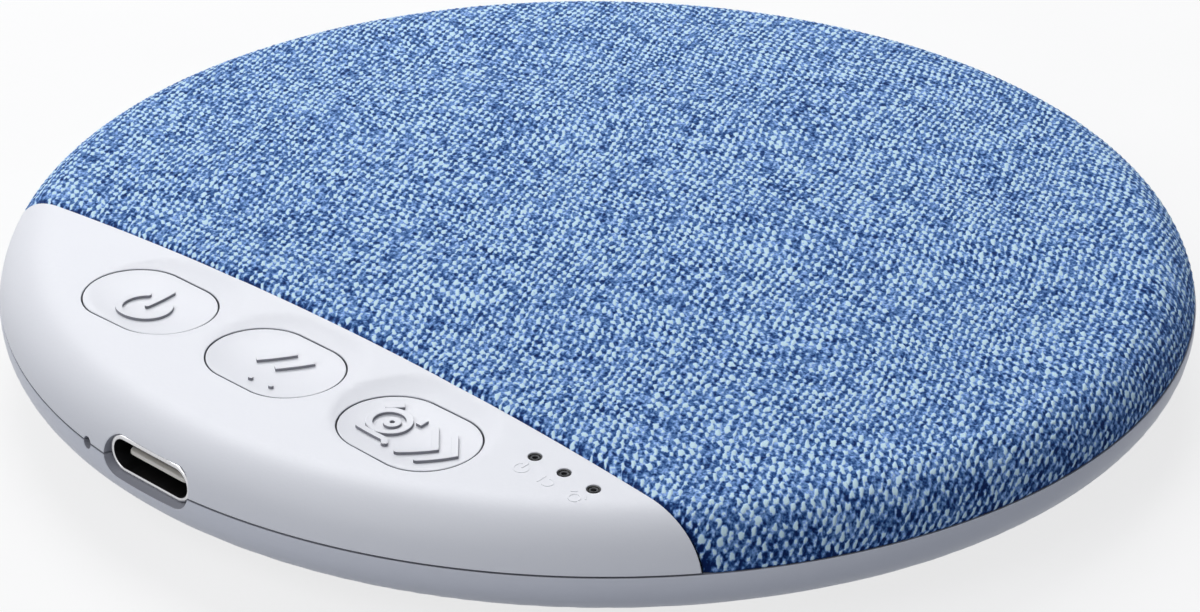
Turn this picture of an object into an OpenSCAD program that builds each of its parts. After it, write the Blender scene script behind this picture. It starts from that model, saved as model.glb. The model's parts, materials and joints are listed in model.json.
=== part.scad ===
// Pillow speaker: a flat disc with a cloth top, a control panel in front and a charging socket in its rim.
// It stands on z = 0 with its middle on the Z axis, and the socket faces -Y.

/* [Body] */
// Diameter of the disc
body_d = 100; // [96:1:112]
// Radius of the crowned top
crown_r = 560; // [460:10:800]
// Radius that rounds the upper rim
rim_top_r = 4.8; // [4.5:0.1:5.2]
// Radius that rounds the lower rim
rim_low_r = 3.4; // [3:0.1:3.8]
// Depth of the bottom shell below the parting line
shell_depth = 6.8; // [6.6:0.1:7.6]
// Drop of the widest ring below the parting line
equator_drop = 0.6; // [0.4:0.1:0.8]
// Angle below level at which the lower rim runs into the belly
belly_angle = 65; // [63:1:68]
// Wall of the bottom shell and of the control panel
wall = 1.6; // [1.4:0.1:1.8]
// Open line between the bottom shell and the top
part_gap = 0.2; // [0.1:0.05:0.3]
// Height of the lip that centres the top on the bottom shell
lip_h = 0.8; // [0.5:0.1:1]
// Thickness of the lip
lip_t = 0.8; // [0.6:0.1:1]
// Room between the lip and the top
lip_clear = 0.2; // [0.1:0.05:0.3]
// Depth to which the lip is rooted in the bottom shell
lip_root = 1.6; // [1.2:0.1:2]

/* [Base pad] */
// Thickness of the non-slip pad
pad_t = 1; // [0.8:0.1:1.2]
// How far the pad stands out of the bottom shell
pad_proud = 0.4; // [0.2:0.1:0.6]
// Distance of the pad from the edge of the flat underside
pad_margin = 4; // [2:0.5:8]
// Room around the pad in its recess
pad_clear = 0.1; // [0.05:0.05:0.2]

/* [Control panel] */
// Depth of the panel from the front of the rim to the cloth
panel_depth = 20.5; // [19.5:0.1:22]
// Radius of the shallow arc where the panel meets the cloth
edge_arc_r = 750; // [500:10:1500]
// Wall that stiffens the panel along the cloth
panel_edge_wall = 1.2; // [1:0.1:1.5]
// Open line between the panel and the cloth
edge_gap = 0.15; // [0.1:0.05:0.3]

/* [Cloth and grille] */
// Thickness of the cloth cover
cloth_t = 0.8; // [0.5:0.1:1]
// Room between the cloth and the grille
cloth_gap = 0.05; // [0.02:0.01:0.1]
// Wall of the grille
grille_t = 1.3; // [1:0.1:1.5]
// Diameter of a sound hole
sound_hole_d = 2.6; // [2:0.1:3]
// Distance between sound holes
sound_hole_pitch = 4.6; // [4:0.1:6]
// Wall of the ring that the driver is pressed against
seat_ring_t = 1.4; // [1:0.1:1.8]
// Least height of that ring
seat_ring_h = 0.2; // [0.1:0.05:0.4]

/* [Buttons] */
// Length of a button cap
button_l = 12; // [11:0.1:12.6]
// Width of a button cap
button_w = 8.15; // [7.4:0.05:8.6]
// Distance between neighbouring buttons
button_pitch = 15; // [14.6:0.1:15.8]
// Distance of the button row from the front of the rim
button_inset = 13.75; // [13.2:0.05:14.4]
// Room around a cap in its opening
button_gap = 0.15; // [0.1:0.05:0.25]
// How far a cap can be pressed
button_travel = 0.4; // [0.2:0.05:0.5]
// Top wall of a cap
cap_t = 1.2; // [1:0.1:1.4]
// Side wall of a cap
cap_wall = 1.1; // [0.9:0.1:1.3]
// How far the flange that keeps a cap in stands out
flange_reach = 0.7; // [0.5:0.1:0.9]
// Thickness of that flange
flange_t = 0.7; // [0.5:0.1:0.8]
// Room between the flange and the panel
flange_clear = 0.15; // [0.1:0.05:0.3]
// Diameter of the post that pushes the switch
post_d = 3; // [2.4:0.1:3.4]
// Depth of the finger dish below the crown at a cap's middle
dish_depth = 0.6; // [0.4:0.05:0.7]
// Radius of the finger dish across a cap
dish_r = 18; // [14:0.5:24]
// Height of the raised pictograms
mark_h = 0.22; // [0.1:0.02:0.4]
// Width of a pictogram's line
mark_w = 0.55; // [0.4:0.05:0.7]

/* [Key switches] */
// Side of a switch body
switch_w = 4.5; // [4:0.1:5]
// Height of a switch body
switch_h = 1.6; // [1.5:0.1:1.7]
// Diameter of a switch plunger
plunger_d = 2.2; // [1.8:0.1:2.6]
// How far a plunger stands out of its switch
plunger_rise = 0.8; // [0.7:0.05:0.9]
// Length of plunger inside the switch at rest
plunger_hold = 0.6; // [0.4:0.05:0.7]
// Room around and below a plunger
plunger_clear = 0.1; // [0.05:0.05:0.2]

/* [Indicator lamps] */
// Distance between lamps
lamp_pitch = 3; // [2.6:0.1:3.4]
// Distance of the lamp row from the front of the rim
lamp_inset = 17.6; // [17:0.1:18]
// Distance from the right button to the first lamp
lamp_margin = 3.4; // [3:0.1:3.8]
// Diameter of a light guide
lens_d = 1; // [0.8:0.1:1.2]
// Room around a light guide in its hole
lens_clear = 0.05; // [0.03:0.01:0.1]
// How far a light guide lies below the panel
lens_sink = 0.4; // [0.2:0.1:0.6]
// Diameter of the dimple in the top of a light guide
lens_dimple_d = 0.5; // [0.3:0.1:0.6]
// Depth of that dimple
lens_dimple_h = 0.3; // [0.2:0.1:0.5]
// Diameter of the collar below the panel
collar_d = 2; // [1.6:0.1:2.2]
// Thickness of that collar
collar_t = 0.6; // [0.4:0.1:0.8]
// Length of a lamp on the board
led_l = 1.6; // [1.2:0.1:1.8]
// Width of a lamp on the board
led_w = 0.8; // [0.6:0.1:1]
// Height of a lamp's base
led_base_h = 0.4; // [0.3:0.1:0.5]
// Height of a lamp on the board with its dome
led_h = 0.6; // [0.5:0.1:0.8]
// Diameter of a lamp's dome
led_dome_d = 0.6; // [0.4:0.1:0.6]
// Distance of a light guide above its lamp
led_gap = 0.15; // [0.1:0.05:0.3]

/* [Charging socket] */
// Width of the socket's metal shell
socket_w = 9; // [8.6:0.1:9.4]
// Height of the socket's metal shell
socket_h = 3.2; // [3:0.05:3.4]
// Length of the socket
socket_l = 7.3; // [6.8:0.1:7.8]
// Sheet that the shell is bent from
socket_t = 0.3; // [0.25:0.05:0.4]
// Height of the socket's axis above the parting line
socket_rise = 0.4; // [0.2:0.1:0.6]
// How far the socket's mouth lies behind the rim
socket_recess = 0.9; // [0.5:0.1:1.2]
// Room beside the socket in its opening
socket_side_clear = 0.4; // [0.2:0.05:0.6]
// Room above and below the socket in its opening
socket_top_clear = 0.12; // [0.1:0.02:0.2]
// Width of the tongue inside
tongue_w = 6.7; // [6:0.1:7]
// Thickness of the tongue
tongue_t = 0.7; // [0.6:0.05:0.8]
// Length of the tongue in front of its block
tongue_l = 4.6; // [4:0.1:5]
// How far the tongue ends behind the mouth
tongue_recess = 0.6; // [0.4:0.1:1]
// Room around the tongue's block
tongue_clear = 0.05; // [0.03:0.01:0.1]
// Number of contacts on each face of the tongue
contact_n = 8; // [4:1:12]
// Width of a contact
contact_w = 0.3; // [0.2:0.02:0.34]
// Thickness of a contact
contact_t = 0.1; // [0.08:0.01:0.12]
// Length of a contact
contact_l = 3.4; // [2.5:0.1:3.8]
// Distance of the charge pinhole from the socket's axis
pinhole_x = 7.2; // [6.8:0.1:8]
// Diameter of the charge pinhole
pinhole_d = 1; // [0.8:0.1:1.2]
// Depth of the charge lamp behind the pinhole
charge_lamp_l = 1; // [0.8:0.1:1.2]
// Width of the charge lamp
charge_lamp_w = 1.6; // [1.4:0.1:1.8]
// Height of the charge lamp
charge_lamp_h = 1.2; // [1:0.1:1.4]
// Distance of the charge lamp from the board's edge
charge_lamp_edge = 0.3; // [0.2:0.1:0.5]

/* [Main board] */
// Thickness of the board
board_t = 1; // [0.8:0.1:1.2]
// Depth of the board from the front of the rim to its straight edge
board_depth = 23; // [22.5:0.1:23.6]
// Room around the board
board_clear = 0.3; // [0.2:0.05:0.4]
// Room around a screw in the board
board_hole_clear = 0.2; // [0.1:0.05:0.3]
// Diameter of the posts under the board's back corners
board_post_d = 3; // [2.5:0.1:3.4]
// Distance of those posts from the middle
board_post_x = 32; // [30:0.5:33]
// Distance of those posts from the board's straight edge
board_post_in = 3; // [2:0.5:3.5]
// Height of the flat chips
chip_h = 0.9; // [0.6:0.1:1.2]
// Side of the audio chip
audio_chip_w = 6; // [5:0.5:7]
// Side of the amplifier chip
amplifier_chip_w = 4; // [3:0.5:5]
// Side of the charger chip
charger_chip_w = 3; // [2:0.5:4]
// Length of the crystal
crystal_l = 3.2; // [2.5:0.1:3.6]
// Width of the crystal
crystal_w = 2.5; // [1.6:0.1:2.8]
// Side of the power inductor
inductor_w = 4; // [3:0.5:5]
// Height of the power inductor
inductor_h = 1.8; // [1.2:0.1:2]
// Length of a small capacitor
capacitor_l = 1.6; // [1:0.1:2]
// Width and height of a small capacitor
capacitor_w = 0.8; // [0.5:0.1:1]
// Number of small capacitors
capacitor_n = 6; // [3:1:6]
// Distance between small capacitors
capacitor_pitch = 5; // [3:0.5:5]
// Length of the antenna
antenna_l = 5; // [4:0.5:6]
// Width of the antenna
antenna_w = 2; // [1.5:0.1:2.4]
// Height of the antenna
antenna_h = 1; // [0.8:0.1:1.2]
// Distance of the antenna from the board's straight edge
antenna_in = 6; // [4:0.5:7]
// Distance of the antenna from the board's rim
antenna_edge = 1; // [0.7:0.1:1.5]

/* [Screws] */
// Diameter of a screw's shank
screw_d = 2; // [1.8:0.1:2.2]
// Length of a screw below its head
screw_l = 4.8; // [4.4:0.1:5]
// Diameter of a screw's head
screw_head_d = 3.4; // [3:0.1:3.6]
// Height of a screw's head
screw_head_h = 1.1; // [0.9:0.1:1.2]
// Depth of the cross in the head
screw_cross_h = 0.6; // [0.4:0.1:0.8]
// Width of an arm of the cross
screw_cross_w = 0.5; // [0.4:0.1:0.6]
// Length of an arm of the cross
screw_cross_l = 2; // [1.6:0.1:2.2]
// Room around a shank in a boss
screw_clear = 0.05; // [0.03:0.01:0.1]
// Room around a head in its well
screw_well_clear = 0.2; // [0.1:0.05:0.3]
// Depth of the screw seats below the parting line
screw_seat = 3.4; // [3.2:0.1:3.6]
// Diameter of a screw boss
boss_d = 4; // [3.8:0.1:4.2]
// Distance of the front screws from the rim
front_screw_in = 5.8; // [5.6:0.1:6]
// Distance of the side and back screws from the rim
back_screw_in = 8.3; // [8:0.1:9]
// Angle of the side screws, from +X
side_screw_angle = -17; // [-20:1:-10]
// Angle of the back screws, from +X
back_screw_angle = 46; // [42:1:52]
// Depth below the parting line at which the side and back bosses meet
boss_meet = 0.5; // [0.3:0.1:0.8]

/* [Battery] */
// Length of the battery
battery_l = 40; // [34:1:42]
// Width of the battery
battery_w = 20; // [18:0.5:20.5]
// Thickness of the battery
battery_t = 5; // [4:0.1:5.6]
// Radius of the battery's long edges
battery_edge_r = 1.5; // [0.8:0.1:2]
// Thickness of the sticky pad under the battery
battery_pad_t = 0.5; // [0.3:0.1:0.8]
// How far that pad ends inside the battery's edge
battery_pad_in = 2; // [1:0.5:4]
// Distance between the board and the battery
battery_gap = 2; // [1.8:0.1:2.4]
// Wall of the tray around the battery
tray_t = 1; // [0.8:0.1:1.2]
// Height of the tray
tray_h = 1.4; // [1:0.1:1.5]
// Room around the battery in its tray
tray_clear = 0.25; // [0.15:0.05:0.3]

/* [Driver] */
// Distance of the driver from the back of the rim
driver_margin = 11.7; // [11:0.1:12.5]
// Height of the driver from its flange to its back
driver_h = 6.3; // [6:0.1:6.5]
// Distance between the battery and the driver
driver_gap = 1.7; // [1.6:0.1:2.2]
// Thickness of the driver's frame
frame_t = 0.8; // [0.6:0.1:0.9]
// Width of the driver's flange around the frame's inside
frame_flange = 2.3; // [2:0.1:2.5]
// Depth of the frame's floor below its flange
frame_floor = 2.9; // [2.7:0.1:3]
// Number of openings in the frame's floor
frame_windows = 6; // [4:1:8]
// Width of a web between two openings
frame_web = 4; // [3:0.5:5]
// Thickness of the soft ring on the flange
gasket_t = 0.6; // [0.4:0.1:0.8]
// Room between that ring and the roll's lip
gasket_gap = 0.1; // [0.05:0.05:0.2]
// Height of the steel cup
yoke_h = 3.6; // [3.4:0.1:3.8]
// Wall of the steel cup
yoke_wall = 1.2; // [1:0.1:1.3]
// Floor of the steel cup
yoke_floor = 1; // [0.8:0.1:1.1]
// Room between the steel cup and the frame
yoke_clear = 0.05; // [0.03:0.01:0.1]
// How far the steel plate stands out over the magnet
magnet_step = 0.2; // [0.1:0.05:0.5]
// Height of the magnet
magnet_h = 1.5; // [1.2:0.1:1.6]
// Thickness of the steel plate on the magnet
plate_h = 0.8; // [0.6:0.1:1]
// Room on each side of the voice coil
coil_gap = 0.5; // [0.4:0.05:0.6]
// Thickness of the voice coil
coil_t = 0.6; // [0.4:0.05:0.7]
// How far the cone moves each way
cone_travel = 0.5; // [0.3:0.05:0.6]
// Room left under the voice coil when the cone is all the way in
coil_clear = 0.5; // [0.4:0.1:0.7]
// Distance between the cone's outer edge and the frame
roll_gap = 2.6; // [2.4:0.1:2.8]
// Width of the cone between the coil's middle and the cone's edge
cone_w = 6.9; // [6.5:0.1:7.5]
// Depth of the cone from its edge to its neck
cone_depth = 1.3; // [1:0.1:1.5]
// Thickness of the cone
cone_t = 0.4; // [0.3:0.05:0.5]
// Width of the cone's flat outer edge
cone_edge = 0.8; // [0.6:0.1:1]
// Height of the dust cap
dust_cap_h = 1; // [0.7:0.1:1.2]
// Thickness of the dust cap
dust_cap_t = 0.3; // [0.2:0.05:0.4]
// Thickness of the roll between cone and frame
roll_t = 0.3; // [0.2:0.05:0.4]
// Width of the roll's flat lips
roll_lip = 0.7; // [0.5:0.1:0.7]
// Room between the roll and the edges of cone and frame
roll_clear = 0.1; // [0.05:0.05:0.15]
// Height of the collar on the floor that centres the cup
collar_ring_h = 1.6; // [1:0.1:2]
// Wall of that collar
collar_ring_t = 1; // [0.8:0.1:1.4]
// Room between that collar and the cup
collar_ring_clear = 0.3; // [0.2:0.05:0.4]
// Direction of the driver's terminals, from +X
terminal_angle = -35; // [-38:1:-30]
// Length of the terminal strip
terminal_l = 6; // [5:0.5:7]
// Thickness of the terminal strip
terminal_t = 0.8; // [0.6:0.1:1]
// Height of the terminal strip
terminal_h = 1.8; // [1.4:0.1:2]

/* [Leads] */
// Diameter of a lead
lead_d = 1.1; // [0.8:0.1:1.2]
// Distance between the two leads of a pair
lead_pitch = 1.6; // [1.4:0.1:2]
// Sides of a lead's round section
lead_sides = 8; // [8:1:12]
// Straight run at each end of a lead
lead_stub = 0.6; // [0.4:0.1:0.7]
// Width of a lead connector
connector_w = 5; // [4.4:0.1:6]
// Depth of a lead connector
connector_l = 3.4; // [3:0.1:4]
// Height of a lead connector
connector_h = 2; // [1.8:0.1:2.2]
// Distance of a lead connector from the board's straight edge
connector_edge = 0.2; // [0.1:0.05:0.4]
// Place of the battery connector to the left of the middle
battery_connector_x = 12; // [10:0.5:14]
// Distance of the speaker connector from the right end of the board's straight edge
speaker_connector_in = 13.4; // [13:0.1:14]

/* [Hidden] */
$fn = 96;
arc_fn = 240;
belly_steps = 8;
rim_steps = 10;
crown_steps = 6;
eps = 0.01;
body_r = body_d / 2;
reach = 2 * body_d;

// Heights, from the surface it rests on
base_z = pad_proud;
floor_z = base_z + wall;
part_z = base_z + shell_depth;
top_z0 = part_z + part_gap;
equator_z = part_z - equator_drop;
socket_z = part_z + socket_rise;
board_top = socket_z - socket_h / 2;
board_low = board_top - board_t;
switch_top = board_top + switch_h;
plunger_top = switch_top + plunger_rise;
seat_z = part_z - screw_seat;
meet_z = part_z - boss_meet;

// Outline of the body: crown, upper rim, lower rim and belly are arcs that run into each other
rim_x = body_r - rim_top_r;
crown_lean = asin(rim_x / (crown_r - rim_top_r));
crown_cz = equator_z - (crown_r - rim_top_r) * cos(crown_lean);
low_x = body_r - rim_low_r;
belly_dir = [cos(belly_angle), -sin(belly_angle)];
belly_start = [low_x, equator_z] + rim_low_r * belly_dir;
belly_r = (belly_start[1] - base_z) / (1 - sin(belly_angle));
belly_c = belly_start - belly_r * belly_dir;
pad_r = belly_c[0] - pad_margin;

// Height of the crown over a point of the plan, or of a face that lies inset below it
function crown_z(r, inset = 0) = crown_cz + sqrt(pow(crown_r - inset, 2) - r * r);
// Radius of the rounded upper rim at a height above the parting line
function rim_at(h, inset) = rim_x + sqrt(pow(rim_top_r - inset, 2) - pow(h + equator_drop, 2));

// Plan
edge_y = -(body_r - panel_depth);
edge_cy = edge_y - edge_arc_r;
grille_in = cloth_t + cloth_gap;
grille_low = grille_in + grille_t;
lip_r = rim_at(lip_h, grille_low) - lip_clear;
board_r = lip_r - lip_t - board_clear;
board_y = -(body_r - board_depth);
board_half = sqrt(board_r * board_r - board_y * board_y);
speaker_connector_x = board_half - speaker_connector_in;
row_y = -(body_r - button_inset);
button_xs = [-button_pitch, 0, button_pitch];
opening_l = button_l + 2 * button_gap;
opening_w = button_w + 2 * button_gap;
lamp_y = -(body_r - lamp_inset);
lamp_x0 = button_pitch + button_l / 2 + lamp_margin;
lamp_xs = [for (i = [0:2]) lamp_x0 + i * lamp_pitch];
mouth_y = -(body_r - socket_recess);
front_screw_r = body_r - front_screw_in;
front_screw_angle = -acos(lamp_x0 / front_screw_r);
back_screw_r = body_r - back_screw_in;
front_screws = [for (s = [-1, 1]) front_screw_r * [s * cos(front_screw_angle), sin(front_screw_angle)]];
back_screws = [for (s = [-1, 1], a = [side_screw_angle, back_screw_angle])
    back_screw_r * [s * cos(a), sin(a)]];
case_screw_places = concat(front_screws, back_screws);
battery_y = board_y + battery_gap + battery_w / 2;
driver_front_y = battery_y + battery_w / 2 + driver_gap;
driver_r = (body_r - driver_margin - driver_front_y) / 2;
driver_y = driver_front_y + driver_r;
frame_in_r = driver_r - frame_flange;
cone_r = frame_in_r - roll_gap;
coil_r = cone_r - cone_w;
plate_r = coil_r - coil_t / 2 - coil_gap;
magnet_r = plate_r - magnet_step;
yoke_r = coil_r + coil_t / 2 + coil_gap + yoke_wall;

// Bottom of the finger dish over a cap, and the top of the flange that keeps the cap in
function dish_z(x) = crown_z(norm([x, row_y])) - dish_depth;
function flange_top(x) =
    crown_z(norm([abs(x) + (button_l - button_w) / 2, row_y]) + button_w / 2 + flange_reach, wall)
    - flange_clear;

// Driver, stacked from the ring on the grille downwards
ring_low = crown_z(driver_y + driver_r, grille_low) - seat_ring_h;
flange_z = ring_low - gasket_t;
yoke_z = flange_z - driver_h;
frame_floor_z = flange_z - frame_floor;
magnet_z = yoke_z + yoke_floor;
plate_z = magnet_z + magnet_h;
coil_z = magnet_z + cone_travel + coil_clear;
neck_z = flange_z - cone_depth;
roll_r = roll_gap / 2 - roll_clear - roll_t / 2;
roll_x = frame_in_r - roll_gap / 2;

// Places of the chips, from the middle of the board's straight edge to the right and to the front
audio_chip_place = [8, 6];
amplifier_chip_place = [18, 5];
charger_chip_place = [-3, 9];
crystal_place = [1.5, 4];
inductor_place = [-21, 6];
capacitor_place = [3, 13.5];

// Leads: points of each pair's middle line, from the connector to what it feeds
connector_y = board_y - connector_edge - connector_l / 2;
lead_y = board_y - connector_edge;
lead_z = board_low - connector_h / 2;
battery_face_y = battery_y - battery_w / 2;
battery_lead_z = floor_z + battery_pad_t + battery_t / 2;
battery_route = [[-battery_connector_x, lead_y, lead_z], [-battery_connector_x, lead_y + lead_stub, lead_z],
    [-battery_connector_x, battery_face_y - lead_stub, battery_lead_z],
    [-battery_connector_x, battery_face_y, battery_lead_z]];
terminal_dir = [cos(terminal_angle), sin(terminal_angle), 0];
terminal_tip = [0, driver_y, frame_floor_z + terminal_h / 2]
    + (frame_in_r + frame_t + terminal_t) * terminal_dir;
lead_run_x = battery_l / 2 + tray_clear + tray_t + lead_pitch / 2 + lead_d;
speaker_route = [[speaker_connector_x, lead_y, lead_z], [speaker_connector_x, lead_y + lead_stub, lead_z],
    [lead_run_x, battery_face_y + lead_pitch, lead_z], [lead_run_x, battery_y + battery_w / 2, lead_z],
    terminal_tip + lead_pitch * terminal_dir, terminal_tip];

// Points along an arc, without its first one
function arc_points(c, r, from, to, steps) =
    [for (i = [1:steps]) let (a = from + (to - from) * i / steps) c + r * [cos(a), sin(a)]];

// Half of the body's cross-section, drawn in by inset on every face
module body_section(inset) {
    polygon(concat(
        [[0, base_z + inset], [belly_c[0], base_z + inset]],
        arc_points(belly_c, belly_r - inset, -90, -belly_angle, belly_steps),
        arc_points([low_x, equator_z], rim_low_r - inset, -belly_angle, 0, rim_steps),
        arc_points([rim_x, equator_z], rim_top_r - inset, 0, 90 - crown_lean, rim_steps),
        arc_points([0, crown_cz], crown_r - inset, 90 - crown_lean, 90, crown_steps)));
}

// The body above a height, drawn in by inset
module upper_body(inset, from_z) {
    rotate_extrude()
        intersection() {
            body_section(inset);
            translate([0, from_z])
                square([reach, reach]);
        }
}

// Everything in front of the arc where the panel meets the cloth, with the arc moved back by grow
module front_of_edge(grow) {
    translate([0, edge_cy, 0])
        cylinder(r = edge_arc_r + grow, h = reach, $fn = arc_fn);
}

// Flat shape with round ends, lying along X
module oval(l, w) {
    square([l - w, w], center = true);
    for (s = [-1, 1])
        translate([s * (l - w) / 2, 0])
            circle(d = w);
}

// Level trough with round ends that hollows a cap and the panel around it, with its bottom at height low
module finger_dish(low) {
    half = (button_l - button_w) / 2;
    translate([0, 0, low + dish_r]) {
        rotate([0, 90, 0])
            cylinder(r = dish_r, h = 2 * half, center = true, $fn = arc_fn);
        for (s = [-1, 1])
            translate([s * half, 0, 0])
                sphere(r = dish_r, $fn = arc_fn);
    }
}

module at_points(points) {
    for (p = points)
        translate([p[0], p[1], 0])
            children();
}

module disc(r, low, high) {
    translate([0, 0, low])
        cylinder(r = r, h = high - low);
}

module ring(r_out, r_in, low, high) {
    difference() {
        disc(r_out, low, high);
        disc(r_in, low - eps, high + eps);
    }
}

module block(l, w, low, high) {
    translate([-l / 2, -w / 2, low])
        cube([l, w, high - low]);
}

// Oval tunnel through the front of the rim for the socket
module socket_opening() {
    translate([0, -body_r - eps, socket_z])
        rotate([-90, 0, 0])
            linear_extrude(body_r + eps + mouth_y + socket_l)
                oval(socket_w + 2 * socket_side_clear, socket_h + 2 * socket_top_clear);
}

module pinhole() {
    translate([-pinhole_x, -body_r - eps, part_z])
        rotate([-90, 0, 0])
            cylinder(d = pinhole_d, h = body_r - lip_r + lip_t + 2 * pinhole_d);
}

module base_shell() {
    color("gainsboro")
        difference() {
            union() {
                rotate_extrude() {
                    intersection() {
                        difference() {
                            body_section(0);
                            body_section(wall);
                        }
                        square([reach, part_z]);
                    }
                    translate([lip_r - lip_t, part_z - lip_root])
                        square([lip_t, lip_root + lip_h]);
                    translate([lip_r - lip_t, part_z - lip_root])
                        square([body_r - wall / 2 - lip_r + lip_t, lip_root]);
                }
                intersection() {
                    upper_body(wall / 2, 0);
                    base_bosses();
                }
                translate([0, battery_y, 0])
                    battery_tray();
                translate([0, driver_y, 0])
                    ring(yoke_r + collar_ring_clear + collar_ring_t, yoke_r + collar_ring_clear,
                        floor_z - wall / 2, floor_z + collar_ring_h);
            }
            disc(pad_r + pad_clear, 0, base_z + pad_t - pad_proud);
            at_points(case_screw_places) {
                disc(screw_d / 2 + screw_clear, 0, part_z);
                disc(screw_head_d / 2 + screw_well_clear, 0, seat_z);
            }
            socket_opening();
            pinhole();
            lip_notches();
        }
}

// Notches in the lip for the walls that stand along the edge of the cloth
module lip_notches() {
    difference() {
        translate([0, 0, part_z])
            front_of_edge(edge_gap + grille_low + lip_clear);
        front_of_edge(-panel_edge_wall - lip_clear);
    }
}

module base_bosses() {
    at_points(front_screws)
        disc(boss_d / 2, 0, board_low);
    at_points(back_screws)
        disc(boss_d / 2, 0, meet_z);
    at_points([for (s = [-1, 1]) [s * board_post_x, board_y - board_post_in]])
        disc(board_post_d / 2, 0, board_low);
}

module battery_tray() {
    difference() {
        block(battery_l + 2 * (tray_clear + tray_t), battery_w + 2 * (tray_clear + tray_t),
            floor_z - wall / 2, floor_z + tray_h);
        block(battery_l + 2 * tray_clear, battery_w + 2 * tray_clear, 0, part_z);
    }
}

module base_pad() {
    color("dimgray")
        disc(pad_r, 0, pad_t);
}

module control_panel() {
    color("white")
        difference() {
            union() {
                difference() {
                    intersection() {
                        upper_body(0, top_z0);
                        front_of_edge(0);
                    }
                    intersection() {
                        upper_body(wall, top_z0 - wall);
                        front_of_edge(-panel_edge_wall);
                    }
                }
                intersection() {
                    upper_body(wall / 2, board_top);
                    at_points(front_screws)
                        disc(boss_d / 2, board_top, part_z + rim_top_r);
                }
            }
            at_points(front_screws)
                disc(screw_d / 2 + screw_clear, 0, seat_z + screw_l + screw_clear);
            for (x = button_xs)
                translate([x, row_y, 0]) {
                    linear_extrude(reach)
                        oval(opening_l, opening_w);
                    finger_dish(dish_z(x));
                }
            at_points([for (x = lamp_xs) [x, lamp_y]])
                disc(lens_d / 2 + lens_clear, part_z, reach);
            socket_opening();
            pinhole();
        }
}

module speaker_grille() {
    color("darkslategray")
        difference() {
            union() {
                difference() {
                    difference() {
                        upper_body(grille_in, top_z0);
                        front_of_edge(edge_gap + grille_in);
                    }
                    difference() {
                        upper_body(grille_low, top_z0 - wall);
                        front_of_edge(edge_gap + grille_low);
                    }
                }
                intersection() {
                    upper_body(grille_in + grille_t / 2, 0);
                    union() {
                        at_points(back_screws)
                            disc(boss_d / 2, meet_z, reach);
                        translate([0, driver_y, 0])
                            ring(driver_r, driver_r - seat_ring_t, ring_low, reach);
                    }
                }
            }
            at_points(back_screws)
                disc(screw_d / 2 + screw_clear, 0, seat_z + screw_l + screw_clear);
            sound_holes();
        }
}

// Sound holes on a grid of equal triangles over the driver's cone
module sound_holes() {
    rows = floor(cone_r / (sound_hole_pitch * sin(60)));
    cols = ceil(cone_r / sound_hole_pitch);
    for (j = [-rows:rows], i = [-cols:cols]) {
        place = [(i + (j % 2) / 2) * sound_hole_pitch, j * sound_hole_pitch * sin(60)];
        if (norm(place) < cone_r - sound_hole_d / 2)
            translate([place[0], driver_y + place[1], 0])
                disc(sound_hole_d / 2, part_z, reach);
    }
}

module fabric_cover() {
    color("cornflowerblue")
        difference() {
            difference() {
                upper_body(0, top_z0);
                front_of_edge(edge_gap);
            }
            difference() {
                upper_body(cloth_t, top_z0 - wall);
                front_of_edge(edge_gap + cloth_t);
            }
        }
}

module case_screws() {
    color("silver")
        at_points(case_screw_places)
            difference() {
                union() {
                    disc(screw_d / 2, seat_z - eps, seat_z + screw_l);
                    disc(screw_head_d / 2, seat_z - screw_head_h, seat_z);
                }
                for (a = [0, 90])
                    rotate(a)
                        block(screw_cross_l, screw_cross_w, seat_z - screw_head_h - eps,
                            seat_z - screw_head_h + screw_cross_h);
            }
}

// Line of a pictogram from a to b with round ends
module mark_line(a, b) {
    d = b - a;
    translate(a)
        rotate(atan2(d[1], d[0]))
            translate([norm(d) / 2, 0])
                oval(norm(d) + mark_w, mark_w);
}

module mark_ring(r) {
    difference() {
        circle(r = r);
        circle(r = r - mark_w);
    }
}

// Open ring with a bar
module power_mark() {
    ring_r = 2.7;
    gap_w = 2.2;
    bar = [-0.3, 3.1];
    difference() {
        mark_ring(ring_r);
        translate([-gap_w / 2, 0])
            square([gap_w, 2 * ring_r]);
    }
    mark_line([0, bar[0]], [0, bar[1]]);
}

// Two slanted bars over two dots
module play_mark() {
    step = 2.15;
    slant = [1.8, 3];
    bar_foot = [-1.95, -0.3];
    dot_foot = [-0.1, -2.7];
    for (i = [0, 1]) {
        foot = bar_foot + [i * step, 0];
        mark_line(foot, foot + slant);
        translate(dot_foot + [i * step, 0])
            circle(d = mark_w);
    }
}

// Ringing clock on its foot, beside a double arrow
module alarm_mark() {
    clock = [-3, 0.7];
    clock_r = 1.8;
    foot_y = -1.9;
    foot_x = [-4.6, -1.7];
    arrow = [2.5, 2.7];
    arrow_step = 2;
    arrow_x = 0.6;
    left_bell = [[-2, 1.5], [-1.1, 2.4]];
    right_bell = [[2.1, 1.1], [2.1, 2]];
    translate(clock) {
        mark_ring(clock_r);
        circle(d = mark_w);
        mark_line(left_bell[0], left_bell[1]);
        mark_line(right_bell[0], right_bell[1]);
    }
    mark_line([foot_x[0], foot_y], [foot_x[1], foot_y]);
    mark_line([foot_x[1], foot_y], [foot_x[1] + mark_w, foot_y - mark_w]);
    for (i = [0, 1], s = [-1, 1])
        mark_line([arrow_x + i * arrow_step, s * arrow[1]], [arrow_x + i * arrow_step + arrow[0], 0]);
}

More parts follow.
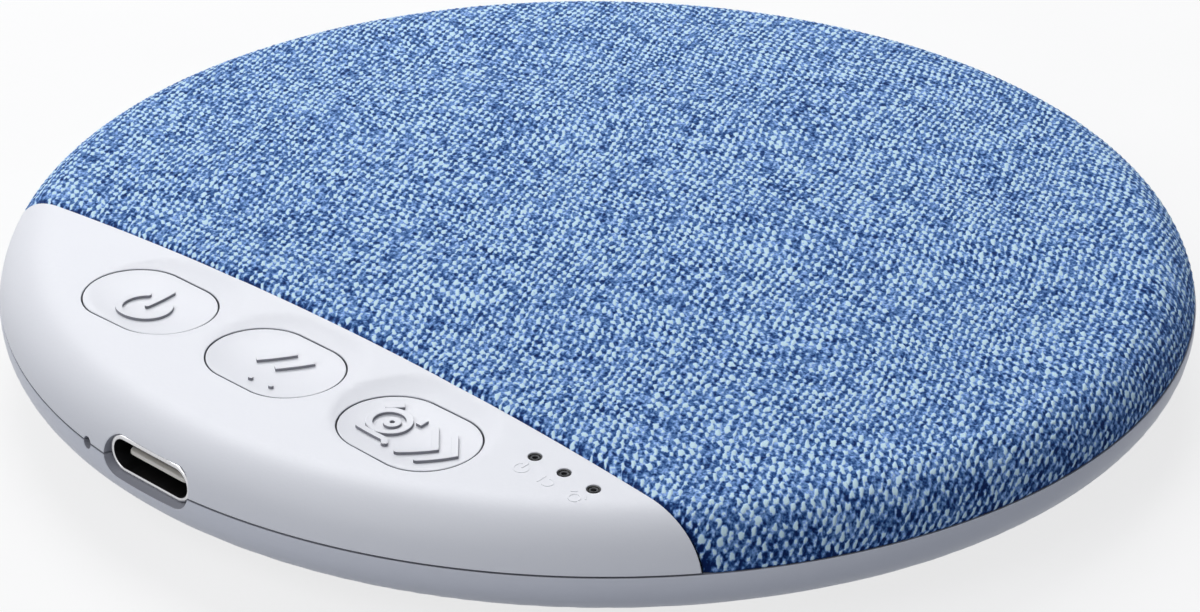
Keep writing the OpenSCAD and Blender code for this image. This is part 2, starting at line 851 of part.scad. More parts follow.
// Cap with its flange and post, hollowed by the finger dish. The pictogram comes as the child
module button_cap(x) {
    floor_top = dish_z(x);
    low = flange_top(x) - flange_t;
    color("ghostwhite") {
        intersection() {
            upper_body(0, part_z);
            translate([x, row_y, 0])
                difference() {
                    union() {
                        translate([0, 0, low])
                            linear_extrude(part_z + body_r - low)
                                oval(button_l, button_w);
                        translate([0, 0, low])
                            linear_extrude(flange_t)
                                oval(button_l + 2 * flange_reach, button_w + 2 * flange_reach);
                    }
                    translate([0, 0, low - eps])
                        linear_extrude(floor_top - cap_t - low + eps)
                            oval(button_l - 2 * cap_wall, button_w - 2 * cap_wall);
                    finger_dish(floor_top);
                }
        }
        translate([x, row_y, 0]) {
            disc(post_d / 2, plunger_top, floor_top - cap_t / 2);
            difference() {
                translate([0, 0, floor_top - mark_h])
                    linear_extrude(dish_r)
                        children();
                finger_dish(floor_top + mark_h);
            }
        }
    }
}

module power_button() {
    button_cap(button_xs[0]) power_mark();
}

module play_button() {
    button_cap(button_xs[1]) play_mark();
}

module alarm_button() {
    button_cap(button_xs[2]) alarm_mark();
}

module switch_body(x) {
    color("darkgray")
        translate([x, row_y, 0])
            difference() {
                block(switch_w, switch_w, board_top, switch_top);
                disc(plunger_d / 2 + plunger_clear,
                    switch_top - plunger_hold - button_travel - plunger_clear, part_z + rim_top_r);
            }
}

module switch_plunger(x) {
    color("black")
        translate([x, row_y, 0])
            disc(plunger_d / 2, switch_top - plunger_hold, plunger_top);
}

// Light guide with its collar under the panel
module indicator_lens(x) {
    r = norm([x, lamp_y]);
    top = crown_z(r) - lens_sink;
    collar_top = crown_z(r + collar_d / 2, wall) - lens_clear;
    color("black")
        translate([x, lamp_y, 0])
            difference() {
                union() {
                    disc(lens_d / 2, board_top + led_h + led_gap, top);
                    disc(collar_d / 2, collar_top - collar_t, collar_top);
                }
                disc(lens_dimple_d / 2, top - lens_dimple_h, top + eps);
            }
}

module indicator_led(x) {
    color("lightyellow")
        translate([x, lamp_y, 0]) {
            block(led_l, led_w, board_top, board_top + led_base_h);
            disc(led_dome_d / 2, board_top, board_top + led_h);
        }
}

module main_board() {
    color("darkgreen")
        difference() {
            intersection() {
                disc(board_r, board_low, board_top);
                translate([-body_r, board_y - body_d, 0])
                    cube([body_d, body_d, reach]);
            }
            at_points(front_screws)
                disc(screw_d / 2 + board_hole_clear, 0, reach);
        }
}

// A length of the socket's oval, from a distance behind its mouth
module socket_oval(w, h, from, l) {
    translate([0, mouth_y + from, socket_z])
        rotate([-90, 0, 0])
            linear_extrude(l)
                oval(w, h);
}

module charge_socket_shell() {
    color("silver")
        difference() {
            socket_oval(socket_w, socket_h, 0, socket_l);
            socket_oval(socket_w - 2 * socket_t, socket_h - 2 * socket_t, -eps, socket_l + 2 * eps);
        }
}

module charge_socket_tongue() {
    block_from = tongue_recess + tongue_l;
    fit = 2 * (socket_t + tongue_clear);
    color("black") {
        socket_oval(socket_w - fit, socket_h - fit, block_from, socket_l - block_from);
        translate([0, mouth_y + tongue_recess + tongue_l / 2, socket_z])
            block(tongue_w, tongue_l + 2 * eps, -tongue_t / 2, tongue_t / 2);
    }
}

module charge_socket_contacts() {
    pitch = (tongue_w - contact_w) / (contact_n + 1);
    color("gold")
        for (i = [0:contact_n - 1], s = [-1, 1])
            translate([(i - (contact_n - 1) / 2) * pitch, mouth_y + tongue_recess + tongue_l / 2, socket_z])
                block(contact_w, contact_l, s > 0 ? tongue_t / 2 : -tongue_t / 2 - contact_t,
                    s > 0 ? tongue_t / 2 + contact_t : -tongue_t / 2);
}

module charge_lamp() {
    edge = sqrt(pow(board_r, 2) - pow(pinhole_x + charge_lamp_w / 2, 2));
    color("lightyellow")
        translate([-pinhole_x, -edge + charge_lamp_edge + charge_lamp_l / 2, 0])
            block(charge_lamp_w, charge_lamp_l, board_top, board_top + charge_lamp_h);
}

// A chip on the underside of the board, placed from the middle of the board's straight edge
module chip_below(place, size) {
    translate([place[0], board_y - place[1], 0])
        block(size[0], size[1], board_low - size[2], board_low);
}

module audio_chip() {
    color("black") chip_below(audio_chip_place, [audio_chip_w, audio_chip_w, chip_h]);
}

module amplifier_chip() {
    color("black") chip_below(amplifier_chip_place, [amplifier_chip_w, amplifier_chip_w, chip_h]);
}

module charger_chip() {
    color("black") chip_below(charger_chip_place, [charger_chip_w, charger_chip_w, chip_h]);
}

module crystal() {
    color("silver") chip_below(crystal_place, [crystal_l, crystal_w, chip_h]);
}

module power_inductor() {
    color("dimgray") chip_below(inductor_place, [inductor_w, inductor_w, inductor_h]);
}

module chip_capacitors() {
    color("tan")
        for (i = [0:capacitor_n - 1])
            chip_below(capacitor_place + [(i - (capacitor_n - 1) / 2) * capacitor_pitch, 0],
                [capacitor_l, capacitor_w, capacitor_w]);
}

module chip_antenna() {
    edge = sqrt(pow(board_r, 2) - pow(board_y - antenna_in - antenna_w / 2, 2));
    color("white")
        translate([-edge + antenna_edge + antenna_l / 2, board_y - antenna_in, 0])
            block(antenna_l, antenna_w, board_top, board_top + antenna_h);
}

module battery_cell() {
    low = floor_z + battery_pad_t;
    color("silver")
        translate([0, battery_y, low + battery_t / 2])
            rotate([90, 0, 90])
                linear_extrude(battery_l, center = true) {
                    square([battery_w - 2 * battery_edge_r, battery_t], center = true);
                    square([battery_w, battery_t - 2 * battery_edge_r], center = true);
                    for (x = [-1, 1], y = [-1, 1])
                        translate([x * battery_w / 2, y * battery_t / 2] - battery_edge_r * [x, y])
                            circle(r = battery_edge_r);
                }
}

module battery_pad() {
    color("khaki")
        translate([0, battery_y, 0])
            block(battery_l - 2 * battery_pad_in, battery_w - 2 * battery_pad_in - 2 * battery_edge_r,
                floor_z, floor_z + battery_pad_t);
}

module lead_connector(x) {
    color("ivory")
        translate([x, connector_y, 0])
            block(connector_w, connector_l, board_low - connector_h, board_low);
}

// Round tube along points: a ring at each point, square to the way the route runs there
function route_dir(p, i) = let (d = p[min(i + 1, len(p) - 1)] - p[max(i - 1, 0)]) d / norm(d);
function across(d) = let (c = cross(d, [0, 0, 1])) c / norm(c);
function ring_points(p, i) = let (d = route_dir(p, i), u = across(d), v = cross(u, d))
    [for (k = [0:lead_sides - 1]) let (a = 360 * k / lead_sides)
        p[i] + lead_d / 2 * (cos(a) * u + sin(a) * v)];
module lead(route, side) {
    shift = side * lead_pitch / 2;
    p = [for (i = [0:len(route) - 1]) route[i] + shift * across(route_dir(route, i))];
    n = lead_sides;
    points = [for (i = [0:len(p) - 1]) each ring_points(p, i)];
    walls = [for (i = [0:len(p) - 2], k = [0:n - 1]) let (a = i * n + k, b = i * n + (k + 1) % n)
        each [[a, b, b + n], [a, b + n, a + n]]];
    last = (len(p) - 1) * n;
    caps = [for (k = [1:n - 2]) each [[0, k + 1, k], [last, last + k, last + k + 1]]];
    polyhedron(points, concat(walls, caps));
}

module speaker_frame() {
    color("dimgray")
        translate([0, driver_y, 0])
            difference() {
                union() {
                    ring(driver_r, frame_in_r, flange_z - frame_t, flange_z);
                    ring(frame_in_r + frame_t, frame_in_r, frame_floor_z, flange_z);
                    ring(frame_in_r + frame_t, yoke_r + yoke_clear, frame_floor_z, frame_floor_z + frame_t);
                }
                for (i = [0:frame_windows - 1])
                    rotate(i * 360 / frame_windows)
                        intersection() {
                            ring(frame_in_r - frame_t, yoke_r + 2 * frame_t, 0, frame_floor_z + 2 * frame_t);
                            frame_window();
                        }
            }
}

// Wedge between two webs of the frame's floor
module frame_window() {
    half = 180 / frame_windows;
    start = frame_web / 2 / sin(half);
    far = body_r * [cos(half), sin(half)];
    linear_extrude(reach)
        polygon([[start, 0], [start + far[0], far[1]], [start + far[0], -far[1]]]);
}

module speaker_yoke() {
    color("silver")
        translate([0, driver_y, 0])
            difference() {
                disc(yoke_r, yoke_z, yoke_z + yoke_h);
                disc(yoke_r - yoke_wall, yoke_z + yoke_floor, yoke_z + yoke_h + eps);
            }
}

module speaker_magnet() {
    color("gray")
        translate([0, driver_y, 0])
            disc(magnet_r, magnet_z, plate_z);
}

module speaker_top_plate() {
    color("silver")
        translate([0, driver_y, 0])
            disc(plate_r, plate_z, plate_z + plate_h);
}

module voice_coil() {
    color("orangered")
        translate([0, driver_y, 0])
            ring(coil_r + coil_t / 2, coil_r - coil_t / 2, coil_z, neck_z);
}

module speaker_cone() {
    neck_r = coil_r - coil_t / 2;
    shoulder = cone_r - cone_edge;
    color("black")
        translate([0, driver_y, 0])
            rotate_extrude()
                polygon([[neck_r, neck_z], [coil_r + coil_t / 2, neck_z], [shoulder, flange_z - cone_t],
                    [cone_r, flange_z - cone_t], [cone_r, flange_z], [shoulder, flange_z],
                    [coil_r, neck_z + cone_t], [neck_r, neck_z + cone_t]]);
}

module dust_cap() {
    low = neck_z + cone_t;
    cap_r = coil_r;
    ball_r = (cap_r * cap_r + dust_cap_h * dust_cap_h) / (2 * dust_cap_h);
    color("black")
        translate([0, driver_y, 0])
            rotate_extrude()
                intersection() {
                    difference() {
                        translate([0, low + dust_cap_h - ball_r])
                            circle(r = ball_r, $fn = arc_fn);
                        translate([0, low + dust_cap_h - ball_r])
                            circle(r = ball_r - dust_cap_t, $fn = arc_fn);
                    }
                    translate([0, low])
                        square([cap_r, dust_cap_h]);
                }
}

module cone_surround() {
    lip_l = roll_lip + roll_t;
    color("black")
        translate([0, driver_y, flange_z])
            rotate_extrude() {
                intersection() {
                    translate([roll_x, 0])
                        difference() {
                            circle(r = roll_r + roll_t / 2);
                            circle(r = roll_r - roll_t / 2);
                        }
                    translate([0, -driver_r])
                        square([driver_r, driver_r + roll_t / 2]);
                }
                translate([roll_x - roll_r + roll_t / 2 - lip_l, 0])
                    square([lip_l, roll_t]);
                translate([roll_x + roll_r - roll_t / 2, 0])
                    square([lip_l, roll_t]);
            }
}

module speaker_gasket() {
    color("black")
        translate([0, driver_y, 0])
            ring(driver_r, frame_in_r + roll_lip + gasket_gap, flange_z, ring_low);
}

module speaker_damper() {
    color("gray")
        translate([0, driver_y, 0])
            disc(yoke_r - yoke_wall, floor_z, yoke_z);
}

module speaker_terminals() {
    color("tan")
        translate([0, driver_y, 0])
            rotate(terminal_angle)
                translate([frame_in_r + frame_t + terminal_t / 2, 0, 0])
                    block(terminal_t, terminal_l, frame_floor_z, frame_floor_z + terminal_h);
}

base_shell();
base_pad();
control_panel();
speaker_grille();
fabric_cover();
case_screws();
power_button();
play_button();
alarm_button();
switch_body(button_xs[0]);  // power_switch_body
switch_body(button_xs[1]);  // play_switch_body
switch_body(button_xs[2]);  // alarm_switch_body
switch_plunger(button_xs[0]);  // power_switch_plunger
switch_plunger(button_xs[1]);  // play_switch_plunger
switch_plunger(button_xs[2]);  // alarm_switch_plunger
indicator_lens(lamp_xs[0]);  // indicator_lens_1
indicator_lens(lamp_xs[1]);  // indicator_lens_2
indicator_lens(lamp_xs[2]);  // indicator_lens_3
indicator_led(lamp_xs[0]);  // indicator_led_1
indicator_led(lamp_xs[1]);  // indicator_led_2
indicator_led(lamp_xs[2]);  // indicator_led_3
main_board();
charge_socket_shell();
charge_socket_tongue();
charge_socket_contacts();
charge_lamp();
audio_chip();
amplifier_chip();
charger_chip();
crystal();
power_inductor();
chip_capacitors();
chip_antenna();
battery_cell();
battery_pad();
lead_connector(-battery_connector_x);  // battery_connector
color("red") lead(battery_route, -1);  // battery_lead_red
color("black") lead(battery_route, 1);  // battery_lead_black
lead_connector(speaker_connector_x);  // speaker_connector
color("red") lead(speaker_route, -1);  // speaker_lead_red
color("black") lead(speaker_route, 1);  // speaker_lead_black
speaker_frame();
speaker_yoke();
speaker_magnet();
speaker_top_plate();
voice_coil();
speaker_cone();
dust_cap();
cone_surround();
speaker_gasket();
speaker_damper();
speaker_terminals();
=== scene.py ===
# %% [markdown]
# # A pillow speaker, dressed over its solids
# The object is a flat disc, 100 mm across and 13 mm high. A blue woven cloth covers most of its top, and a white panel
# with three caps, three tiny lamps and a charging socket fills the front.
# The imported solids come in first. They are the fixed frame: each new piece takes the place of one of them, in the
# same metres and with the same origin, so nothing has to be fitted by eye.

# %% Load the frame
import json
import math
import bpy
import numpy as np
from mathutils import Matrix, Vector
from mathutils.geometry import delaunay_2d_cdt


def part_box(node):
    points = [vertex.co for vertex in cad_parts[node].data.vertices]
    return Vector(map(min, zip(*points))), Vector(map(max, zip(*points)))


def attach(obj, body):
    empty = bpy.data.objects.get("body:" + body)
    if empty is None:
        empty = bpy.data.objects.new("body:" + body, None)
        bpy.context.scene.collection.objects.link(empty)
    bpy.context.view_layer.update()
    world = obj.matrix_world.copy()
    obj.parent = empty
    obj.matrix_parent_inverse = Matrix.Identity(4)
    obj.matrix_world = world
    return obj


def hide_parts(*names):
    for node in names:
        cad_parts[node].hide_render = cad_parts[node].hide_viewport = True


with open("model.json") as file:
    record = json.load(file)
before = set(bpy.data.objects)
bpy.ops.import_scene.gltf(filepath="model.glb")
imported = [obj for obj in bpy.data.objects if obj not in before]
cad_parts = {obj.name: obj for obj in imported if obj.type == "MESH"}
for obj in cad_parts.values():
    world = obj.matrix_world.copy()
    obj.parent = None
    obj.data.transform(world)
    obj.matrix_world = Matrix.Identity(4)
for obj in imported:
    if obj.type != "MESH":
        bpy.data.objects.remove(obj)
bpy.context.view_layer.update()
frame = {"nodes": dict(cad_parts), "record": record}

MM = 0.001

# %% [markdown]
# ## Camera
# The view looks down on the disc at 28 degrees, from the right of its front. The distance and the lens come from a
# fit of the disc's rim and the three caps, so the perspective is that of the picture. A camera looks along its own
# -Z axis, so its turn is built from the three directions right, up and back, with half a degree of roll.

# %% Camera
EYE = Vector((188.734, -199.339, 148.615)) * MM
AIM = Vector((5.495, -5.551, 7.2)) * MM
ROLL = math.radians(0.506)
LENS, SENSOR = 109.77, 36

back = (EYE - AIM).normalized()
right = Vector((0, 0, 1)).cross(back).normalized()
up = back.cross(right)
right, up = (math.cos(ROLL) * right + math.sin(ROLL) * up, math.cos(ROLL) * up - math.sin(ROLL) * right)

camera = bpy.data.objects.new("camera", bpy.data.cameras.new("camera"))
camera.data.sensor_width, camera.data.lens = SENSOR, LENS
camera.data.clip_start = 0.01
camera.matrix_world = Matrix.Translation(EYE) @ Matrix((right, up, back)).transposed().to_4x4()
bpy.context.collection.objects.link(camera)
bpy.context.scene.camera = camera
bpy.context.scene.view_settings.view_transform = "Standard"
print("camera distance in mm:", round((EYE - AIM).length / MM, 1))

# %% [markdown]
# ## Nodes in one line
# Every finish here is a small graph of nodes. Linking them by hand takes many lines, so one helper adds a node and
# fills its inputs: a plain value is set on the socket, and another node's output is linked to it. Sums, blends, ranges
# and noise come up again and again, so each gets a helper of its own.

# %% Node helpers
def add(tree, kind, inputs=None, **settings):
    """One node of that kind in the tree: settings are its options, and inputs its sockets by name or number."""
    node = tree.nodes.new("ShaderNode" + kind)
    for key, value in settings.items():
        setattr(node, key, value)
    for key, value in (inputs or {}).items():
        if isinstance(value, bpy.types.NodeSocket):
            tree.links.new(value, node.inputs[key])
        else:
            node.inputs[key].default_value = value
    return node


def calc(tree, operation, *values):
    """The output of a Math node that works on up to three numbers or outputs."""
    return add(tree, "Math", dict(enumerate(values)), operation=operation).outputs[0]


def blend_colour(tree, share, first, second):
    """The colour between first and second: share 0 gives first, and 1 gives second."""
    mix = add(tree, "Mix", {0: share, 6: first, 7: second}, data_type="RGBA")
    return mix.outputs[2]


def ranged(tree, value, *ends, **settings):
    """A value moved to another range: its low and high end before, then after, which are 0 and 1 if left out."""
    return add(tree, "MapRange", {0: value, **dict(enumerate(ends, 1))}, **settings).outputs[0]


def noise(tree, place, scale, detail=2.0):
    """Grey noise over points: scale is in patches per metre, and detail the number of finer layers."""
    return add(tree, "TexNoise", {"Vector": place, "Scale": scale, "Detail": detail}).outputs["Fac"]


def srgb(red, green, blue):
    """A colour given as 0 to 255 on the screen, as the linear numbers that shaders use."""
    c = np.array([red, green, blue]) / 255
    linear = np.where(c <= 0.04045, c / 12.92, ((c + 0.055) / 1.055) ** 2.4)
    return (*linear.tolist(), 1.0)


def new_finish(name):
    """An empty material: the material, its node tree and its main shader."""
    material = bpy.data.materials.new(name)
    material.use_nodes = True
    return material, material.node_tree, material.node_tree.nodes["Principled BSDF"]


def dress(tree, shader, colour, rough, height, strength, distance):
    """Link a shader's colour, its roughness if that varies, and a bump of a height that rises by a distance."""
    bump = add(tree, "Bump", {"Height": height, "Strength": strength, "Distance": distance}).outputs[0]
    for socket, value in (("Base Color", colour), ("Roughness", rough), ("Normal", bump)):
        if value is not None:
            tree.links.new(value, shader.inputs[socket])


print("a screen grey of 188 is", round(srgb(188, 188, 188)[0], 3), "in linear light")

# %% [markdown]
# ## Light and floor
# The picture has soft light on a white ground: wide light from above and behind, a nearer glow from the left as from a
# window, and some light from the front. Three round area lamps give that, and the world adds a dim, bluish fill. Their
# level is plain: a white card lying flat renders as white, and no brighter.
# The camera, reflections and clear plastic see the world as pure white through the Light Path node, without any more
# light on the object. The floor glows white in the same way, but only in part: the rest is a lit white card, so the
# soft shadow under the rim stays.

# %% World
WHITE = (1, 1, 1, 1)
FILL_COLOUR, FILL_STRENGTH = (0.80, 0.86, 1.0, 1), 0.185


def seen_directly(tree):
    """1 where the camera, a reflection or something clear looks at it, and 0 where it lights other things."""
    path = add(tree, "LightPath").outputs
    either = calc(tree, "MAXIMUM", path["Is Camera Ray"], path["Is Glossy Ray"])
    return calc(tree, "MAXIMUM", either, path["Is Transmission Ray"])


world = bpy.data.worlds.new("studio")
bpy.context.scene.world = world
world.use_nodes = True
sky = world.node_tree
sky.nodes.clear()
white_sky = add(sky, "Background", {"Color": WHITE, "Strength": 1.0}).outputs[0]
fill_sky = add(sky, "Background", {"Color": FILL_COLOUR, "Strength": FILL_STRENGTH}).outputs[0]
mixed_sky = add(sky, "MixShader", {0: seen_directly(sky), 1: fill_sky, 2: white_sky})
add(sky, "OutputWorld", {"Surface": mixed_sky.outputs[0]})
print("world nodes:", len(sky.nodes))

# %% Lamps
# Each lamp: its place in metres, its width in metres and its power in watts. All are turned to the object's middle
LAMPS = {"over_lamp": ((-0.50, 0.45, 1.00), 0.75, 6.5), "window_lamp": ((-0.26, 0.10, 0.24), 0.25, 0.37),
         "front_lamp": ((0.0, -0.80, 0.75), 0.7, 3.5)}
for name, (place, width, power) in LAMPS.items():
    lamp = bpy.data.objects.new(name, bpy.data.lights.new(name, "AREA"))
    lamp.data.shape, lamp.data.size, lamp.data.energy = "DISK", width, power
    lamp.location = place
    lamp.rotation_mode = "QUATERNION"
    lamp.rotation_quaternion = lamp.location.to_track_quat("Z", "Y")
    bpy.context.collection.objects.link(lamp)
print("lamps:", list(LAMPS))

# %% Floor
FLOOR_HALF, FLOOR_COUNT, FLOOR_Z = 3.0, 9, -2e-5
CARD_GREY, PAPER_LOW, PAPER_GLOW = (0.49, 0.51, 0.55, 1), (0.97, 0.97, 0.97, 1), 0.78


def floor_grid(half, count, z):
    """Square grid at height z, just under the object: x and y run evenly from -half to half."""
    x, y = np.meshgrid(np.linspace(-half, half, count), np.linspace(-half, half, count))
    corner = np.arange(count * count).reshape(count, count)
    faces = np.stack([corner[:-1, :-1], corner[:-1, 1:], corner[1:, 1:], corner[1:, :-1]], -1).reshape(-1, 4)
    return np.stack([x, y, 0 * x + z], -1).reshape(-1, 3), faces


points, faces = floor_grid(FLOOR_HALF, FLOOR_COUNT, FLOOR_Z)
floor_mesh = bpy.data.meshes.new("floor")
floor_mesh.from_pydata(points.tolist(), [], faces.tolist())
floor = bpy.data.objects.new("floor", floor_mesh)
bpy.context.collection.objects.link(floor)
card, tree, shader = new_finish("white_card")
seen = seen_directly(tree)
paper = blend_colour(tree, noise(tree, add(tree, "TexCoord").outputs["Object"], 40.0), PAPER_LOW, WHITE)
tree.links.new(blend_colour(tree, seen, CARD_GREY, paper), shader.inputs["Base Color"])
shader.inputs["Roughness"].default_value = 0.9
shader.inputs["Specular IOR Level"].default_value = 0.0
glow = add(tree, "Emission", {"Color": paper, "Strength": 1.0}).outputs[0]
shown = add(tree, "MixShader", {0: calc(tree, "MULTIPLY", seen, PAPER_GLOW), 1: shader.outputs[0], 2: glow})
tree.links.new(shown.outputs[0], tree.nodes["Material Output"].inputs["Surface"])
floor_mesh.materials.append(card)
print("floor faces:", len(faces))

# %% [markdown]
# ## The body's outline as a flat pattern
# The top is a very flat dome that turns down over a small round rim. The bottom is flat in the middle and rises in a
# long belly arc to a second small round. All of it is turned about one axis, so a point of the skin needs two
# numbers: how far it lies from the middle, measured along the skin, and in which direction.
# Laid out flat with these two numbers, each half of the skin is a round pattern, like the cut of a cloth. Openings,
# edges and threads are drawn on the pattern, and a formula bends it into shape. That keeps even the rim free of
# stretched faces.

# %% Skin from the flat pattern
BODY_R, CROWN_R, RIM_TOP_R, RIM_LOW_R = 50.0, 560.0, 4.8, 3.4
BASE_Z, EQUATOR_Z, PART_Z, TOP_Z = 0.4, 6.6, 7.2, 7.35
BELLY = math.radians(25)
FLAT_R = 1e6
# Half the side of a square that holds either pattern
PATTERN_HALF = 56.0

RIM_X, LOW_X = BODY_R - RIM_TOP_R, BODY_R - RIM_LOW_R
LEAN = math.asin(RIM_X / (CROWN_R - RIM_TOP_R))
CROWN_CZ = EQUATOR_Z - (CROWN_R - RIM_TOP_R) * math.cos(LEAN)
BELLY_R = (EQUATOR_Z - RIM_LOW_R * math.cos(BELLY) - BASE_Z) / (1 - math.cos(BELLY))
BELLY_X = LOW_X - (BELLY_R - RIM_LOW_R) * math.sin(BELLY)

# Each arc: distance along the skin where it starts, centre (radius, height), arc radius, and lean where it starts
TOP_ARCS = np.array([[0, 0, CROWN_CZ, CROWN_R, 0],
                     [CROWN_R * LEAN, RIM_X, EQUATOR_Z, RIM_TOP_R, LEAN]])
BELLY_END = BELLY_X + BELLY_R * BELLY
LOW_ARCS = np.array([[0, 0, BASE_Z + FLAT_R, FLAT_R, 0],
                     [BELLY_X, BELLY_X, BASE_Z + BELLY_R, BELLY_R, 0],
                     [BELLY_END, LOW_X, EQUATOR_Z, RIM_LOW_R, BELLY],
                     [BELLY_END + RIM_LOW_R * (math.pi / 2 - BELLY), RIM_X, EQUATOR_Z, RIM_TOP_R, math.pi / 2]])


class Skin:
    """Half of the body's skin: a chain of arcs turned about the axis. side is 1 for the top and -1 for the bottom."""

    def __init__(self, arcs, side, reach):
        self.arcs, self.side = arcs, side
        self.table_s = np.linspace(0, reach, 40001)
        self.table_r, self.table_z, _ = self.section(self.table_s)

    def section(self, s):
        """Radius, height and lean at distance s: lean grows by s over the arc's radius, and the point lies on it."""
        start, cx, cz, radius, lean = self.arcs[np.searchsorted(self.arcs[:, 0], s, side="right") - 1].T
        lean = lean + (s - start) / radius
        return cx + radius * np.sin(lean), cz + self.side * radius * np.cos(lean), lean

    def lay(self, flat):
        """Points and outward normals of the skin over points of the flat pattern: the direction stays, and the
        distance from the middle becomes a radius and a height. The lower pattern is seen from below, so x turns."""
        s = np.hypot(*flat.T)
        way = flat / np.maximum(s, 1e-9)[:, None] * [self.side, 1]
        r, z, lean = self.section(s)
        point = np.column_stack([way * r[:, None], z])
        normal = np.column_stack([way * np.sin(lean)[:, None], self.side * np.cos(lean)])
        return point, normal

    def from_plan(self, plan):
        """Pattern points under points of the plan view: the same direction, with the radius measured along the skin."""
        r = np.hypot(*plan.T)
        s = np.interp(r, self.table_r, self.table_s)
        return plan * (s / np.maximum(r, 1e-9))[:, None] * [self.side, 1]

    def from_front(self, x, z):
        """Pattern points of the front rim, seen from the front at x and height z."""
        s = np.interp(-self.side * z, -self.side * self.table_z, self.table_s)
        r = self.section(s)[0]
        return s[:, None] * np.column_stack([self.side * x / r, -np.sqrt(1 - (x / r) ** 2)])

    def s_at(self, z):
        """Distance along the skin of the rim at height z."""
        return float(np.interp(-self.side * z, -self.side * self.table_z, self.table_s))


RIM_END = TOP_ARCS[1, 0] + RIM_TOP_R * (math.pi / 2 - LEAN)
top = Skin(TOP_ARCS, 1, RIM_END)
low = Skin(LOW_ARCS, -1, LOW_ARCS[3, 0] + 1.2)
print("crown at", round(float(top.table_z[0]), 3), "mm; pattern radius of the top", round(top.s_at(TOP_Z), 2), "mm")

# %% [markdown]
# ## Filling a pattern with faces
# A pattern has rim lines round it and round its openings. Blender's mathutils can join such lines and any points
# between them into triangles (a constrained Delaunay triangulation), which keeps every rim line as it was drawn.
# A thin moulding or a cloth then needs a thickness: the same faces again further in, and round edges between the two.

# %% Lines on a pattern
def spread(path, step, closed=False):
    """Points at even distances of about step along a drawn line: its length is summed and cut into equal shares."""
    if closed:
        path = np.vstack([path, path[:1]])
    along = np.concatenate([[0], np.cumsum(np.hypot(*np.diff(path, axis=0).T))])
    count = max(int(round(along[-1] / step)), 3)
    at = np.linspace(0, along[-1], count + 1)
    at = at[:-1] if closed else at
    return np.column_stack([np.interp(at, along, path[:, k]) for k in (0, 1)])


def oval(x, y, half, radius, count=96):
    """Oval in the plan, against the clock: a circle whose right and left halves are moved apart by half each."""
    a = np.linspace(0, 2 * np.pi, count, endpoint=False) + np.pi / count
    return np.column_stack([x + radius * np.cos(a) + half * np.sign(np.cos(a)), y + radius * np.sin(a)])


def inside(points, loops, gap=0.0):
    """Which points lie inside the first loop and outside the others, at least gap from every loop: a line drawn to the
    right from such a point crosses the loops an odd number of times."""
    a = np.vstack(loops)
    b = np.vstack([np.roll(loop, -1, 0) for loop in loops])
    lean = (b[:, 0] - a[:, 0]) / np.where(b[:, 1] == a[:, 1], 1, b[:, 1] - a[:, 1])
    kept = []
    for x, y in (np.hsplit(chunk, 2) for chunk in np.array_split(points, len(points) // 4000 + 1)):
        crossed = ((a[:, 1] > y) != (b[:, 1] > y)) & (x < a[:, 0] + (y - a[:, 1]) * lean)
        kept.append((crossed.sum(1) % 2 == 1) & (np.hypot(x - a[:, 0], y - a[:, 1]).min(1) > gap))
    return np.concatenate(kept)


def clear_of(points, loops, gap):
    """The points inside the first loop and outside the others, at least gap from every loop."""
    return points[inside(points, loops, gap)]


print("an oval of 96 points is", round(np.ptp(oval(0, 0, 1.925, 4.075)[:, 0]), 2), "mm long")

# %% Faces between lines
def fill(loops, inner):
    """Triangles of a pattern: loops come first among its points, the outer one against the clock and holes with it."""
    points = np.vstack([*loops, inner])
    starts = np.cumsum([0] + [len(loop) for loop in loops])
    edges = np.vstack([np.column_stack([np.arange(a, b), np.roll(np.arange(a, b), -1)])
                       for a, b in zip(starts[:-1], starts[1:])])
    made = delaunay_2d_cdt(points.tolist(), edges.tolist(), [], 0, 1e-7)
    assert len(made[0]) == len(points), "rim lines of a pattern cross or meet"
    triangles = np.array(made[2])
    return points, triangles[inside(points[triangles].mean(1), loops)]


def mitre(before, after):
    """Shift that moves both lines at a corner outwards by one: the sum of their outward directions, longer the sharper
    the corner is."""
    return (before + after) / (1 + (before * after).sum(1))[:, None]


def inset(loop, distance):
    """A loop moved towards its inside, on its left, by a distance."""
    ahead = np.roll(loop, -1, 0) - loop
    out = np.column_stack([ahead[:, 1], -ahead[:, 0]]) / np.hypot(*ahead.T)[:, None]
    return loop - distance * mitre(np.roll(out, 1, 0), out)


def lattice(across, along, half):
    """All points i * across + j * along of the plane in a square of that half width."""
    a, b = np.array(across, float), np.array(along, float)
    reach = int(2.2 * half / min(np.hypot(*a), np.hypot(*b)))
    i, j = np.meshgrid(np.arange(-reach, reach + 1), np.arange(-reach, reach + 1))
    p = i.reshape(-1, 1) * a + j.reshape(-1, 1) * b
    return p[np.abs(p).max(1) < half]


print("points of a 1 mm lattice in a 10 mm square:", len(lattice((1, 0), (0, 1), 5.0)))

